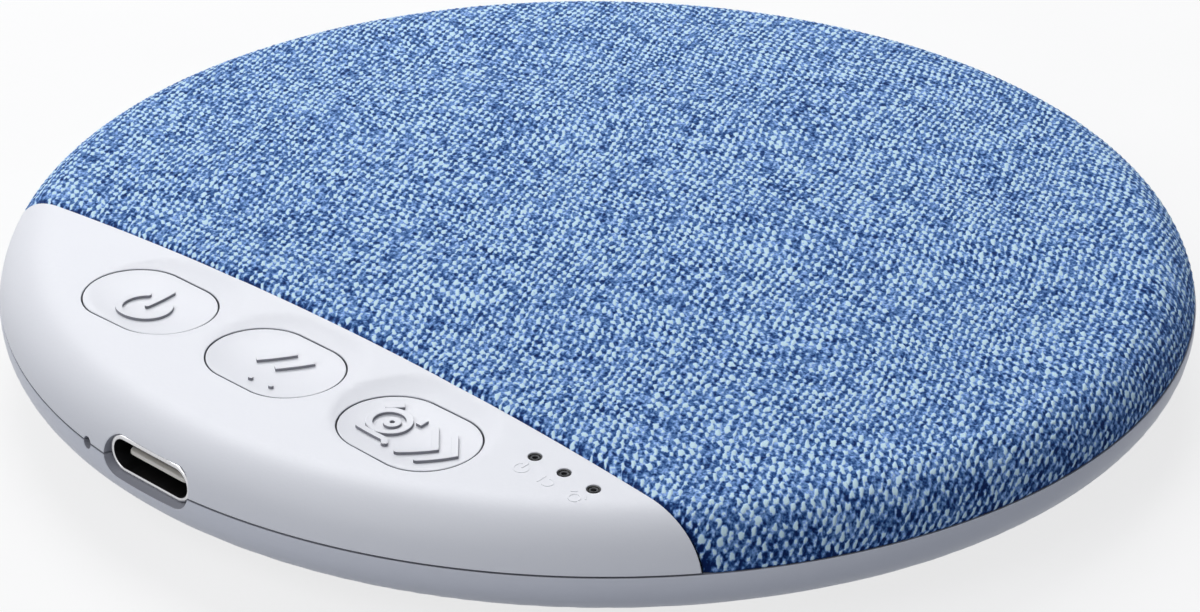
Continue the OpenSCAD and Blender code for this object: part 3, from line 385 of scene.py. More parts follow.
# %% Thickness
def thick(outer, inner, loop_sizes, wall, edge, steps=4):
    """Closed wall between two sheets that share their loops. outer and inner are (points, normals, triangles), inner
    being drawn in by wall already. Between them each rim runs over a quarter round, a straight wall and a second
    quarter round: at angle a it lies edge * sin(a) outside the loop and edge * (1 - cos(a)) below the face.
    Everything behind the first quarter round is the second finish, which on the panel, the shell and the caps is a grey
    of painted shade."""
    p, n, tri = outer
    q, m, low_tri = inner
    points, normals, triangles, quads = [p, q], [n, -m], [tri, low_tri[:, ::-1] + len(p)], []
    count, start = len(p) + len(q), 0
    turn = np.linspace(0, np.pi, 2 * steps + 1)[1:-1]
    turn = np.sort(np.append(turn, np.pi / 2))
    for size in loop_sizes:
        ids = np.arange(start, start + size)
        b, bn = p[ids], n[ids]
        ahead = np.roll(b, -1, 0) - b
        after, before = np.cross(ahead, bn), np.cross(np.roll(ahead, 1, 0), bn)
        out = mitre(before / np.linalg.norm(before, axis=1)[:, None], after / np.linalg.norm(after, axis=1)[:, None])
        low_half = np.arange(len(turn)) >= steps
        drop = np.where(low_half, wall - edge * (1 + np.cos(turn)), edge * (1 - np.cos(turn)))
        rings = b + out * edge * np.sin(turn)[:, None, None] - bn * drop[:, None, None]
        out = out / np.linalg.norm(out, axis=1)[:, None]
        facing = bn * np.cos(turn)[:, None, None] + out * np.sin(turn)[:, None, None]
        points.append(rings.reshape(-1, 3))
        normals.append(facing.reshape(-1, 3))
        rows = np.vstack([ids, count + np.arange(len(turn) * size).reshape(len(turn), size), ids + len(p)])
        after = np.roll(rows, -1, 1)
        quads.append(np.stack([rows[:-1], rows[1:], after[1:], after[:-1]], -1))
        count, start = count + len(turn) * size, start + size
    quads = np.concatenate(quads, 1)
    round_out, walls = quads[:steps].reshape(-1, 4), quads[steps:].reshape(-1, 4)
    return np.vstack(points), np.vstack(normals), [*triangles, round_out, walls], [0, 0, 0, 1]


def moulding(skin, loops, inner, wall, edge, shape=None):
    """Thin moulded wall over a pattern: its skin, the same faces wall further in, and edges rounded by edge."""
    loops = [inset(loop, edge) for loop in loops]
    flat, tri = fill(loops, inner)
    p, n = skin.lay(flat)
    if shape:
        p, n = shape(p, n)
    return thick((p, n, tri), (p - n * wall, n, tri), [len(loop) for loop in loops], wall, edge)


trial = moulding(top, [oval(0, 0, 0, 5.0, 24)], np.zeros((1, 2)), 1.0, 0.1)
print("a round plate with 24 rim points has", len(trial[0]), "points in all")

# %% [markdown]
# ## Turned and drawn shapes
# Round pieces such as the pad and the screw wells are a profile turned about an upright axis. A pictogram's line is a
# small cross-section carried along a path. Both are grids: one number runs along the profile, the other round it or
# along the path.

# %% Lathe
def used_only(points, normals, faces):
    """The same mesh without the points that no face uses."""
    used = np.unique(np.concatenate([group.ravel() for group in faces]))
    place = np.zeros(len(points), int)
    place[used] = np.arange(len(used))
    return points[used], normals[used], [place[group] for group in faces if len(group)]


def lathe(profile, centre=(0, 0), count=96, turn=None):
    """Closed profile of (radius, height) turned about an upright axis through centre, or only between the two angles
    of turn. The profile runs against the clock as seen with the axis on the left. A normal is the profile's direction
    turned outwards by 90 degrees, and is shared where two stretches of the profile meet at a gentle angle."""
    profile = np.asarray(profile, float)
    a = np.radians(np.linspace(*(turn or (0, 360)), count, endpoint=turn is not None))
    way = np.stack([np.cos(a), np.sin(a)], -1)
    steps = np.roll(profile, -1, 0) - profile
    steps /= np.linalg.norm(steps, axis=1)[:, None]
    face = np.column_stack([steps[:, 1], -steps[:, 0]])
    before = np.roll(face, 1, 0)
    gentle = ((face * before).sum(1) > 0.8)[:, None]
    shared = (face + before) / np.maximum(np.linalg.norm(face + before, axis=1), 1e-9)[:, None]
    leaving, arriving = np.where(gentle, shared, face), np.where(gentle, shared, before)
    face = np.stack([leaving, np.roll(arriving, -1, 0)], 1).reshape(-1, 2)
    # Every stretch has its own two rows of points, so sharp corners stay crisp
    ends = np.stack([profile, np.roll(profile, -1, 0)], 1).reshape(-1, 2)
    shape = (len(ends), count, 1)
    points = np.concatenate([ends[:, None, :1] * way + centre, np.broadcast_to(ends[:, None, 1:], shape)], -1)
    normals = np.concatenate([face[:, None, :1] * way, np.broadcast_to(face[:, None, 1:], shape)], -1)
    points, normals = points.reshape(-1, 3), normals.reshape(-1, 3)
    row = np.arange(len(ends) * count).reshape(-1, 2, count)
    pole = (ends[:, 0] == 0).reshape(-1, 2)
    row = np.where(pole[:, :, None], row[:, :, :1], row)
    after, here = (row[:, :, 1:], row[:, :, :-1]) if turn else (np.roll(row, -1, 2), row)
    quads = np.stack([here[:, 0], after[:, 0], after[:, 1], here[:, 1]], -1)
    first, last = pole[:, 0] & ~pole[:, 1], pole[:, 1] & ~pole[:, 0]
    faces = [quads[~pole.any(1)].reshape(-1, 4), quads[first][..., [0, 2, 3]].reshape(-1, 3),
             quads[last][..., [0, 1, 2]].reshape(-1, 3)]
    if turn:
        ring = np.arange(len(profile))
        for k, way_out, order in ((0, -1, ring), (-1, 1, ring[::-1])):
            faces.append(order[None] + len(points))
            points = np.vstack([points, np.column_stack([profile[:, :1] * way[k] + centre, profile[:, 1]])])
            normals = np.vstack([normals, np.tile([-way_out * way[k, 1], way_out * way[k, 0], 0], (len(profile), 1))])
    return used_only(points, normals, faces)


print("a turned ring with 4 corners has", len(lathe([(2, 0), (3, 0), (3, 1), (2, 1)])[0]), "points")

# %% Rounded corners and strokes
def rounded(profile, radius, steps=4):
    """A closed profile with each corner replaced by an arc: the corner is cut back by radius along both sides, and a
    curve of second degree runs between the two cuts."""
    profile, radius = np.asarray(profile, float), np.broadcast_to(radius, len(profile))
    into, onto = np.roll(profile, 1, 0) - profile, np.roll(profile, -1, 0) - profile
    a = profile + into / np.linalg.norm(into, axis=1)[:, None] * radius[:, None]
    b = profile + onto / np.linalg.norm(onto, axis=1)[:, None] * radius[:, None]
    t = np.linspace(0, 1, steps + 1)[:, None, None]
    curve = (1 - t) ** 2 * a + 2 * t * (1 - t) * profile + t ** 2 * b
    return curve.transpose(1, 0, 2).reshape(-1, 2)


def stroke(path, width, height, ground, closed=False, square=False):
    """Raised line of a pictogram. path runs over the plan, ground gives the points and normals of the face below it,
    and the cross-section is a flat top with small round shoulders. Corners are mitred. An open end is square, or
    narrows over half a width as a circle does. The flanks are the second finish, a grey of painted shade on the caps."""
    path, half = np.asarray(path, float), width / 2
    narrow = np.ones(len(path))
    if not closed and not square:
        t = np.array([0.35, 0.62, 0.84, 0.97])
        first, last = (half * v / np.linalg.norm(v) for v in (path[0] - path[1], path[-1] - path[-2]))
        path = np.vstack([path[0] + t[::-1, None] * first, path, path[-1] + t[:, None] * last])
        narrow = np.concatenate([np.sqrt(1 - t[::-1] ** 2), narrow, np.sqrt(1 - t ** 2)])
    ahead = np.diff(np.vstack([path, path[:1]]) if closed else path, axis=0)
    out = np.column_stack([ahead[:, 1], -ahead[:, 0]]) / np.hypot(*ahead.T)[:, None]
    side = mitre(np.roll(out, 1, 0), out) if closed else mitre(np.vstack([out[:1], out]), np.vstack([out, out[-1:]]))
    a = np.linspace(0, np.pi / 2, 4)
    soft, sunk = 0.15 * height, 0.1
    across = np.concatenate([[1], 1 - soft / half * (1 - np.cos(a))])
    rise = np.concatenate([[-sunk], height - soft * (1 - np.sin(a))])
    tilt = np.concatenate([[0], a])
    mirrored = (across, -across[::-1]), (rise, rise[::-1]), (tilt, np.pi - tilt[::-1])
    across, rise, tilt = (np.concatenate(pair) for pair in mirrored)
    plan = path[:, None] + side[:, None] * (half * across[:, None] * narrow[:, None, None])
    base, up_way = ground(plan.reshape(-1, 2))
    points = base + up_way * np.tile(rise, len(path))[:, None]
    outward = np.concatenate([side, np.zeros((len(path), 1))], 1) / np.linalg.norm(side, axis=1)[:, None]
    normals = outward[:, None] * np.cos(tilt)[:, None] + up_way.reshape(*plan.shape[:2], 3) * np.sin(tilt)[:, None]
    normals = normals.reshape(-1, 3)
    row = np.arange(len(points)).reshape(plan.shape[:2])
    after, here = (np.roll(row, -1, 0), row) if closed else (row[1:], row[:-1])
    quads = np.stack([here, after, np.roll(after, -1, 1), np.roll(here, -1, 1)], -1)
    faces, tones = [quads[:, 1:-2].reshape(-1, 4), quads[:, [0, -2, -1]].reshape(-1, 4)], [0, 1]
    if not closed:
        for ring, facing in ((row[0], -ahead[0]), (row[-1][::-1], ahead[-1])):
            faces.append(np.arange(len(points), len(points) + len(ring))[None])
            tones.append(1)
            points = np.vstack([points, points[ring]])
            normals = np.vstack([normals, np.tile([*facing / np.hypot(*facing), 0], (len(ring), 1))])
    return points, normals, faces, tones


print("a square with rounded corners has", len(rounded([(0, 0), (1, 0), (1, 1), (0, 1)], 0.2)), "points")

# %% [markdown]
# ## From arrays to objects
# A piece is made of parts, and each part is a few arrays: points, normals and faces. They are joined into one mesh,
# in metres, and the normals are stored with it, so a round edge shades smoothly over a few faces. The object then rides
# on a body of the moving model, takes its finishes and stands for the solids that it replaces.

# %% Pieces
def piece(name, parts, finish, body="housing", stands_for=()):
    """One object from parts of (points in mm, normals, face arrays, and the finish of each array if it isn't the
    first): it rides on a body and stands for CAD nodes."""
    points, normals, faces, tones, count = [], [], [], [], 0
    for p, n, groups, *tone in parts:
        points.append(p)
        normals.append(n)
        for group in groups:
            faces.extend((group + count).tolist())
        tones += [np.full(len(group), t) for group, t in zip(groups, tone[0] if tone else [0] * len(groups))]
        count += len(p)
    mesh = bpy.data.meshes.new(name)
    mesh.from_pydata((np.vstack(points) * MM).tolist(), [], faces)
    mesh.polygons.foreach_set("use_smooth", np.ones(len(faces), bool))
    mesh.normals_split_custom_set_from_vertices(np.vstack(normals).tolist())
    for each in finish if isinstance(finish, list) else [finish]:
        mesh.materials.append(each)
    tones = np.minimum(np.concatenate(tones), len(mesh.materials) - 1)
    mesh.polygons.foreach_set("material_index", tones.astype(np.int32))
    made = bpy.data.objects.new(name, mesh)
    bpy.context.collection.objects.link(made)
    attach(made, body)
    if stands_for:
        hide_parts(*stands_for)
    print(name, len(points), "parts,", count, "points,", len(faces), "faces")
    return made


# %% [markdown]
# ## Moulded plastic
# The panel, the caps and the bottom shell are moulded in a cool satin white; the shell's white is set a little greyer,
# a painted shade of the lower half. Seen closely such a moulding is never one colour: the tone drifts a little, and a
# fine spark-eroded grain breaks up the gloss. Noise on Object coordinates gives both, at two sizes, so the grain has
# the same scale on every piece.

# %% Moulded plastic
def darker(colour, share):
    """A colour with its three numbers made smaller by a share."""
    return tuple(c * (1 - share) for c in colour[:3]) + (1.0,)


def moulded(name, colour, drift=0.03, gloss=0.42):
    """Satin plastic: the colour drifts by a share of itself, and a fine grain moves the roughness and the surface."""
    material, tree, shader = new_finish(name)
    place = add(tree, "TexCoord").outputs["Object"]
    slow, grain = noise(tree, place, 60.0, 3.0), noise(tree, place, 2600.0)
    dress(tree, shader, blend_colour(tree, slow, darker(colour, drift), colour),
          ranged(tree, grain, 0.3, 0.7, gloss - 0.06, gloss + 0.06), grain, 0.5, 0.000012)
    shader.inputs["Specular IOR Level"].default_value = 0.3
    return material


panel_white = moulded("panel_white", srgb(240, 241, 246))
# The shell's white is set greyer than the panel's: a painted shade of the lower half
shell_white_painted_shade = moulded("shell_white_painted_shade", srgb(226, 228, 236))
cap_white = moulded("cap_white", srgb(240, 241, 246), gloss=0.38)
smoke_black = moulded("smoke_black", (0.008, 0.008, 0.009, 1), 0.3, 0.25)
# Painted highlight: a lighter grey for the ring at each light guide's end
painted_ring_highlight = moulded("painted_ring_highlight", srgb(78, 80, 84), 0.1, 0.35)
# Painted shade: a grey for the flanks of the raised pictograms and the caps' skirts
painted_flank_shade = moulded("painted_flank_shade", srgb(140, 141, 148), gloss=0.5)
# Painted shade: a grey for the walls of openings and of the parting slit, where little light gets in
painted_seam_shade = moulded("painted_seam_shade", srgb(164, 165, 174), gloss=0.6)
print("plastics:", panel_white.name, shell_white_painted_shade.name, cap_white.name)

# %% [markdown]
# ## The edge between panel and cloth
# The panel ends in a line that is almost straight: an arc of 750 mm. The cloth starts just behind it. Both rims are
# drawn from the same arc, moved by the gap between them.

# %% Shared edge
EDGE_R, EDGE_CY, EDGE_GAP = 750.0, -779.5, 0.15


def edge_line(skin, s_end, grow, step):
    """Pattern points of the arc from left to right, moved back by grow, as far as distance s_end from the middle."""
    x = np.linspace(0, BODY_R, 40001)
    y = EDGE_CY + np.sqrt((EDGE_R + grow) ** 2 - x ** 2)
    kept = np.hypot(x, y) <= skin.section(np.array([s_end]))[0]
    half = skin.from_plan(np.column_stack([x, y])[kept])
    return spread(np.vstack([half[:0:-1] * [-1, 1], half]), step)


def rim_line(s, first, last, step):
    """Pattern points on the circle of radius s, against the clock from the direction of first to that of last."""
    a, b = (math.atan2(p[1], p[0]) for p in (first, last))
    b += 2 * math.pi if b <= a else 0
    t = np.linspace(a, b, max(int(s * (b - a) / step), 2) + 1)
    return s * np.column_stack([np.cos(t), np.sin(t)])


print("edge length in mm:", round(len(edge_line(top, top.s_at(TOP_Z), 0, 0.1)) * 0.1, 1))

# %% [markdown]
# ## The woven cover
# The cover is one cut of cloth, stretched over a carrier. Along the panel it bends down into the seam, and at the
# parting line it ends in a small round. Its threads cross at a slant, and where a pale thread comes up it shows as a
# small bead. Simulated cloth would add nothing here: the cloth is held tight all over, so it has the body's own form.
# The mesh follows the threads: its points lie on the crossings and halfway between them, so each bead is a real
# bump. Threads are never quite straight, and a few slow waves shift them.

# %% Threads
THREAD_TURN = np.radians([26.0, 85.0])
THREAD_PITCH = np.array([0.60, 0.77])
THREADS = np.column_stack([np.cos(THREAD_TURN), np.sin(THREAD_TURN)]) / THREAD_PITCH[:, None]


def wander(flat):
    """Slow drift of the two thread counts over the pattern: sums of three sine waves of 12 to 40 mm."""
    x, y = flat.T
    first = 0.55 * np.sin(0.16 * x + 0.11 * y) + 0.35 * np.sin(0.29 * y - 0.21 * x + 1.3) + 0.2 * np.sin(0.47 * x + 2.1)
    second = 0.5 * np.sin(0.13 * y - 0.19 * x + 0.4) + 0.3 * np.sin(0.31 * x + 0.17 * y + 2.2) + 0.2 * np.sin(0.52 * y)
    return np.column_stack([first, second])


def thread_counts(flat):
    """How many threads of each set lie between the middle and a point of the pattern."""
    return flat @ THREADS.T + wander(flat)


def at_counts(counts):
    """The pattern points with those thread counts: the straight weave, corrected for the drift until it settles."""
    flat = counts @ np.linalg.inv(THREADS).T
    for _ in range(8):
        flat = (counts - wander(flat)) @ np.linalg.inv(THREADS).T
    return flat


print("threads per cm:", np.round(10 / THREAD_PITCH, 1))

# %% Cover shape
# Thickness, round of the edge, height of a bead, depth of the bend at the panel, and height of the hem
CLOTH_T, CLOTH_EDGE, BEAD, TUCK, HEM_Z = 0.8, 0.2, 0.13, 0.22, 7.24
# Step of points along the rim, room between rim and beads, and the beads' share of height on the rim itself
RIM_STEP, RIM_ROOM, RIM_BEAD = 0.45, 0.22, 0.3
# Half the side of a square of thread counts that holds the cut, and room between rim and points of the lower side
COUNT_HALF, COARSE_ROOM = 110.0, 0.8
hem = top.s_at(HEM_Z)
line = edge_line(top, hem, EDGE_GAP, RIM_STEP)
cover_loop = inset(np.vstack([line, rim_line(hem, line[-1], line[0], RIM_STEP)[1:-1]]), CLOTH_EDGE)
half_steps = lattice((0.5, 0), (0, 0.5), COUNT_HALF)
knots = at_counts(half_steps)
knots = clear_of(knots[np.hypot(*knots.T) < hem], [cover_loop], RIM_ROOM)
flat_out, tri_out = fill([cover_loop], knots)
coarse = clear_of(lattice((2.2, 0), (1.1, 1.9), PATTERN_HALF), [cover_loop], COARSE_ROOM)
flat_in, tri_in = fill([cover_loop], coarse)


def tucked(flat, loop, reach=0.9):
    """How far the cloth bends down into the seam: 1 at its edge, and as a square down to 0 at the reach."""
    far = np.concatenate([np.hypot(*(chunk[:, None] - loop).transpose(2, 0, 1)).min(1)
                          for chunk in np.array_split(flat, len(flat) // 4000 + 1)])
    return np.maximum(1 - far / reach, 0) ** 2


counts, tuck_and_painted_shade = thread_counts(flat_out), tucked(flat_out, cover_loop[:len(line)])
bead = 0.5 + 0.25 * np.cos(2 * np.pi * counts).sum(1)
bead[:len(cover_loop)] = RIM_BEAD
skin_out, facing_out = top.lay(flat_out)
skin_in, facing_in = top.lay(flat_in)
skin_out = skin_out + facing_out * (BEAD * (bead - 1) - TUCK * tuck_and_painted_shade)[:, None]
cover_parts = thick((skin_out, facing_out, tri_out), (skin_in - facing_in * CLOTH_T, facing_in, tri_in),
                    [len(cover_loop)], CLOTH_T - TUCK, CLOTH_EDGE)

# %% [markdown]
# ## The cloth's finish
# The cloth is a blue melange: pale dots on a navy ground, with no two dots alike. Each thread set is a cosine wave of
# its count, and a dot shows where both waves are high. Noise shifts the counts a little, so the rows aren't ruled. The
# whole counts say which dot a point belongs to, so a random number for each gives every dot its own brightness.
# Slubs, the thick stretches of a thread, are noise drawn out along one set, and two fine noises are fuzz and hairs. All
# of them add up to one tone, with painted shade where the cloth bends down, and a colour ramp dyes it. A little sheen
# stands for the nap.

# %% Weave
cloth, tree, shader = new_finish("blue_melange")
uv = add(tree, "UVMap", uv_map="threads").outputs[0]
place = add(tree, "TexCoord").outputs["Object"]
EVEN, MIDDLE, SHIFT = (1, 1, 1), (0.5, 0.5, 0.5), (0.9, 0.9, 0.9)
# Scale of the shifts, share of each thread set in a dot, ends of the soft step round a dot, and fineness of the fibres
SHIFT_SCALE, WAVE_SHARES, DOT_ENDS, FUZZ_SCALE, HAIR_SCALE = 0.9, (0.55, 0.45), (-0.5, 0.95), 2200.0, 4300.0


def on_vectors(operation, *values):
    """The output of a Vector Math node in the cloth's tree."""
    return add(tree, "VectorMath", dict(enumerate(values)), operation=operation).outputs[0]


def on_counts(counts, scale, stretch, detail=2.0):
    """The outputs of noise over two counts, drawn out along one of them by a stretch below one."""
    drawn = add(tree, "Mapping", {0: counts, "Scale": stretch}).outputs[0]
    return add(tree, "TexNoise", {"Vector": drawn, "Scale": scale, "Detail": detail}, noise_dimensions="2D").outputs


jitter = on_vectors("SUBTRACT", on_counts(uv, SHIFT_SCALE, EVEN)["Color"], MIDDLE)
counted = on_vectors("ADD", uv, on_vectors("MULTIPLY", jitter, SHIFT))
axes = add(tree, "SeparateXYZ", {0: counted}).outputs
wave_1, wave_2 = (calc(tree, "COSINE", calc(tree, "MULTIPLY", axes[k], 2 * math.pi)) for k in (0, 1))
weave = calc(tree, "MULTIPLY_ADD", wave_1, WAVE_SHARES[0], calc(tree, "MULTIPLY", wave_2, WAVE_SHARES[1]))
dot = ranged(tree, weave, *DOT_ENDS, interpolation_type="SMOOTHSTEP")
cell = on_vectors("FLOOR", on_vectors("ADD", counted, (0.5, 0.5, 0)))
chance = add(tree, "TexWhiteNoise", {"Vector": cell}, noise_dimensions="2D").outputs["Value"]
fuzz, hair = (noise(tree, place, scale, 1.0) for scale in (FUZZ_SCALE, HAIR_SCALE))
# Slubs run along the first threads, upright in the picture, and along the level rows of dots, a mix of both counts
straight = add(tree, "SeparateXYZ", {0: uv}).outputs
weft = calc(tree, "SUBTRACT", calc(tree, "MULTIPLY", straight[1], 2.0), straight[0])
crossing = add(tree, "CombineXYZ", {0: straight[0], 1: weft}).outputs[0]
print("weave nodes:", len(tree.nodes))

# %% Dye
# Tone of the ground, shares of the dots and of the painted shade at the bent edge, and the least and the added
# brightness of a dot
GROUND, DOT_SHARE, PAINTED_SHADE_SHARE, DOT_LEAST, DOT_ADDED = 0.325, 0.86, -0.4, 0.4, 1.2
# Steps of the dye from navy to the palest thread, evenly spaced
DYE = (6, 33, 88), (44, 84, 144), (102, 141, 194), (149, 186, 249), (215, 243, 255)
# Painted shade: a number from the mesh that darkens the dye where the cloth tucks into the seam and leans down
edge = add(tree, "Attribute", attribute_name="tuck_and_painted_shade").outputs["Fac"]
pale = calc(tree, "MULTIPLY", dot, calc(tree, "MULTIPLY_ADD", chance, DOT_ADDED, DOT_LEAST))
upright_slub = on_counts(crossing, 0.8, (1, 0.06, 1))["Fac"]
level_slub = on_counts(crossing, 0.5, (0.14, 1, 1))["Fac"]
blotch = on_counts(uv, 0.6, EVEN, 1.0)["Fac"]
# Noise has a mean of one half, so half of its shares comes off the ground and the mean tone stays
noises = [(upright_slub, 0.34), (level_slub, 0.5), (fuzz, 1.1), (hair, 1.0), (blotch, 0.5)]
level = GROUND - 0.5 * sum(share for _, share in noises)
for value, share in [(pale, DOT_SHARE)] + noises + [(edge, PAINTED_SHADE_SHARE)]:
    level = calc(tree, "MULTIPLY_ADD", value, share, level)
dye = add(tree, "ValToRGB", {0: level})
stops = dye.color_ramp.elements
for at, colour in zip(np.linspace(0, 1, len(DYE)).tolist(), DYE):
    stop = stops[0] if at == 0 else stops[-1] if at == 1 else stops.new(at)
    stop.position, stop.color = at, srgb(*colour)
relief = calc(tree, "ADD", dot, calc(tree, "MULTIPLY", fuzz, 0.5))
dress(tree, shader, dye.outputs[0], None, relief, 0.65, 0.00012)
for socket, value in {"Roughness": 0.9, "Specular IOR Level": 0.1, "Sheen Weight": 0.2, "Sheen Roughness": 0.5,
                      "Sheen Tint": srgb(150, 185, 240)}.items():
    shader.inputs[socket].default_value = value
print("cloth nodes:", len(tree.nodes))

# %% [markdown]
# ## The cover as a piece
# The finish reads two things from the mesh. The thread counts become a UV map, also over the round edge, where they run
# on as if the cloth lay flat. A number at every point is painted shade: the dye darkens where the cloth tucks into the
# seam, where it leans down over the rim, and all over the edge's round.

# %% Cover piece
# Share of painted shade where the cloth's top leans away from upright
PAINTED_SIDE_SHADE = 0.6
cover = piece("woven_cover", [cover_parts], cloth, stands_for=["fabric_cover"])
counts_all = np.zeros((len(cover.data.vertices), 2))
counts_all[:len(flat_out)] = counts
counts_all[len(flat_out):len(flat_out) + len(flat_in)] = thread_counts(flat_in)
ring_rows = (len(counts_all) - len(flat_out) - len(flat_in)) // len(cover_loop)
over_edge = CLOTH_EDGE * np.linspace(0, np.pi, ring_rows + 2)[1:-1]
over_edge = np.vstack([inset(cover_loop, -distance) for distance in over_edge])
counts_all[len(flat_out) + len(flat_in):] = thread_counts(over_edge)
# Painted shade for each point: full on the edge's round and underneath, and on the top from the tuck and the lean
painted_bend_shade = np.ones(len(counts_all))
painted_bend_shade[:len(flat_out)] = tuck_and_painted_shade + PAINTED_SIDE_SHADE * (1 - facing_out[:, 2])
cover.data.attributes.new("tuck_and_painted_shade", "FLOAT", "POINT").data.foreach_set("value", painted_bend_shade)
corners = np.empty(len(cover.data.loops), int)
cover.data.loops.foreach_get("vertex_index", corners)
cover.data.uv_layers.new(name="threads").data.foreach_set("uv", counts_all[corners].ravel())
print("points over the cloth's edge:", len(over_edge), "corners with thread counts:", len(corners))

# %% [markdown]
# ## The finger dishes
# Each cap lies in a shallow trough for the fingertip, which runs out into the panel around it. A trough is a ball
# of 20 mm rolled along a short line. Where it meets the crown there is no sharp line on the moulding, so the lower
# of the two heights is taken with a soft minimum.

# %% Finger dishes
CAP_X, ROW_Y = np.array([-15.0, 0.0, 15.0]), -36.25
CAP_HALF, CAP_R, CAP_GAP = 1.75, 4.25, 0.13
DISH_R, DISH_DEPTH, DISH_SOFT = 20.0, 0.7, 0.10


def crown_height(x, y):
    """Height of the crown's sphere over the plan."""
    return CROWN_CZ + np.sqrt(CROWN_R ** 2 - x ** 2 - y ** 2)


def dish_drop(x, y):
    """How far the troughs lie below the crown: its height less the soft minimum of it and the three troughs."""
    crown = crown_height(x, y)
    height = crown
    for cx in CAP_X:
        bottom = crown_height(cx, ROW_Y) - DISH_DEPTH
        off = np.hypot(np.maximum(np.abs(x - cx) - CAP_HALF, 0), y - ROW_Y)
        trough = bottom + DISH_R - np.sqrt(np.maximum(DISH_R ** 2 - off ** 2, 0))
        near = np.maximum(DISH_SOFT - np.abs(height - trough), 0) / DISH_SOFT
        height = np.minimum(height, trough) - near ** 2 * DISH_SOFT / 4
    return crown - height


def dished(point, normal):
    """Points of the top lowered by the troughs. The normal leans by the slope of that drop, by small differences."""
    x, y = point[:, 0], point[:, 1]
    tiny = 1e-3
    on_crown = np.hypot(x, y) < RIM_X
    drop = np.where(on_crown, dish_drop(x, y), 0)
    slope_x = np.where(on_crown, (dish_drop(x + tiny, y) - dish_drop(x - tiny, y)) / (2 * tiny), 0)
    slope_y = np.where(on_crown, (dish_drop(x, y + tiny) - dish_drop(x, y - tiny)) / (2 * tiny), 0)
    lowered = point - np.column_stack([0 * x, 0 * x, drop])
    upright = np.maximum(normal[:, 2:], 0.05)
    leant = normal + upright * np.column_stack([slope_x, slope_y, 0 * x])
    return lowered, leant / np.linalg.norm(leant, axis=1)[:, None]


def top_face(plan):
    """Points and normals of the dished top under points of the plan."""
    return dished(*top.lay(top.from_plan(plan)))


print("deepest drop in mm:", round(float(dish_drop(np.array([0.0]), np.array([ROW_Y]))[0]), 3))

# %% [markdown]
# ## The panel
# One thin moulding: crown, rim, three oval openings, three lamp holes, and at the parting line a notch for the socket
# and one for the pinhole. The notches are drawn in the front view, where they are an oval and a circle. The walls of
# the openings and of the rim are a grey of painted shade.

# %% Panel
WALL, PANEL_EDGE, PANEL_BACK_Y = 1.6, 0.06, -25.0
SOCKET_Z, SOCKET_HALF, SOCKET_R = 7.6, 3.18, 1.72
PIN_X, PIN_R = -7.2, 0.5
LAMP_X, LAMP_Y, LAMP_R = np.array([24.4, 27.4, 30.4]), -32.4, 0.55


def front_oval(x, z, half, radius, level, upper, step):
    """The part of an oval in the front view above (or below) a level, from left to right."""
    rest = math.asin((level - z) / radius)
    a = np.linspace((math.pi if upper else -math.pi) - rest, rest, int(radius * math.pi / step))
    shift = np.where(np.abs(np.cos(a)) < 1e-6, 0, np.sign(np.cos(a))) * half
    across, height = x + radius * np.cos(a) + shift, z + radius * np.sin(a)
    path = spread(np.column_stack([across, height]), step)
    return path[:, 0], path[:, 1]


def hem_line(skin, z):
    """Rim lines at the parting line, at height z: its distance on the pattern, the pinhole and the socket notch."""
    upper = skin.side > 0
    pin = skin.from_front(*front_oval(PIN_X, PART_Z, 0, PIN_R, z, upper, 0.12))
    socket = skin.from_front(*front_oval(0, SOCKET_Z, SOCKET_HALF, SOCKET_R, z, upper, 0.15))
    return skin.s_at(z), pin, socket


s_hem, pin_line, socket_line = hem_line(top, TOP_Z)
line = edge_line(top, s_hem, 0, 0.4)[::-1]
panel_loop = np.vstack([rim_line(s_hem, line[-1], pin_line[0], 0.5)[:-1], pin_line,
                        rim_line(s_hem, pin_line[-1], socket_line[0], 0.4)[1:-1], socket_line,
                        rim_line(s_hem, socket_line[-1], line[0], 0.5)[1:-1], line[:-1]])
holes = [top.from_plan(oval(x, ROW_Y, CAP_HALF, CAP_R + CAP_GAP, 150))[::-1] for x in CAP_X]
holes += [top.from_plan(oval(x, LAMP_Y, 0, LAMP_R, 32))[::-1] for x in LAMP_X]
panel_points = lattice((0.7, 0), (0.35, 0.606), PATTERN_HALF)
panel_points = clear_of(panel_points[panel_points[:, 1] < PANEL_BACK_Y], [panel_loop] + holes, 0.3)
panel_parts = [moulding(top, [panel_loop] + holes, panel_points, WALL, PANEL_EDGE, dished)]
print("panel openings:", len(holes), "rim points:", len(panel_loop))

# %% [markdown]
# ## The caps and their pictograms
# Each cap is an oval moulding that continues the dish, with a flange below that keeps it in and a post that pushes
# the key switch. The pictograms are raised lines: a ring with a bar, two slanted bars over two dots, and a ringing
# clock beside a double arrow. They follow the dish, so each is a stroke carried over the cap's own face. Their flanks
# and the cap's skirt are a grey of painted shade.

# %% Pictogram lines
MARK_W, MARK_H = 0.55, 0.26


def bar(a, b, count=12):
    """Straight line from a to b as points."""
    return np.array(a) + np.linspace(0, 1, count)[:, None] * (np.array(b) - np.array(a))


def arc(centre, radius, start, end, count=60):
    """Circular line about centre from one angle to another, in degrees."""
    a = np.radians(np.linspace(start, end, count))
    return np.array(centre) + radius * np.column_stack([np.cos(a), np.sin(a)])


def power_lines():
    """Ring that is open at the top, and a bar in the opening."""
    return [(arc((0, -0.56), 2.34 - MARK_W / 2, 132, 403), {}), (bar((0, -0.3), (0, 2.4)), {"width": 0.42})]


def play_lines():
    """Two slanted bars over two dots."""
    ends = ((-1.85, -0.35), (0, 2.3)), ((0.25, -0.3), (2, 2.3))
    dots = (0.3, -2.85), (2.4, -2.65)
    return ([(bar(a, b), {"square": True, "width": 0.5}) for a, b in ends]
            + [(bar((x, y), (x + 0.02, y), 3), {"width": 0.42}) for x, y in dots])


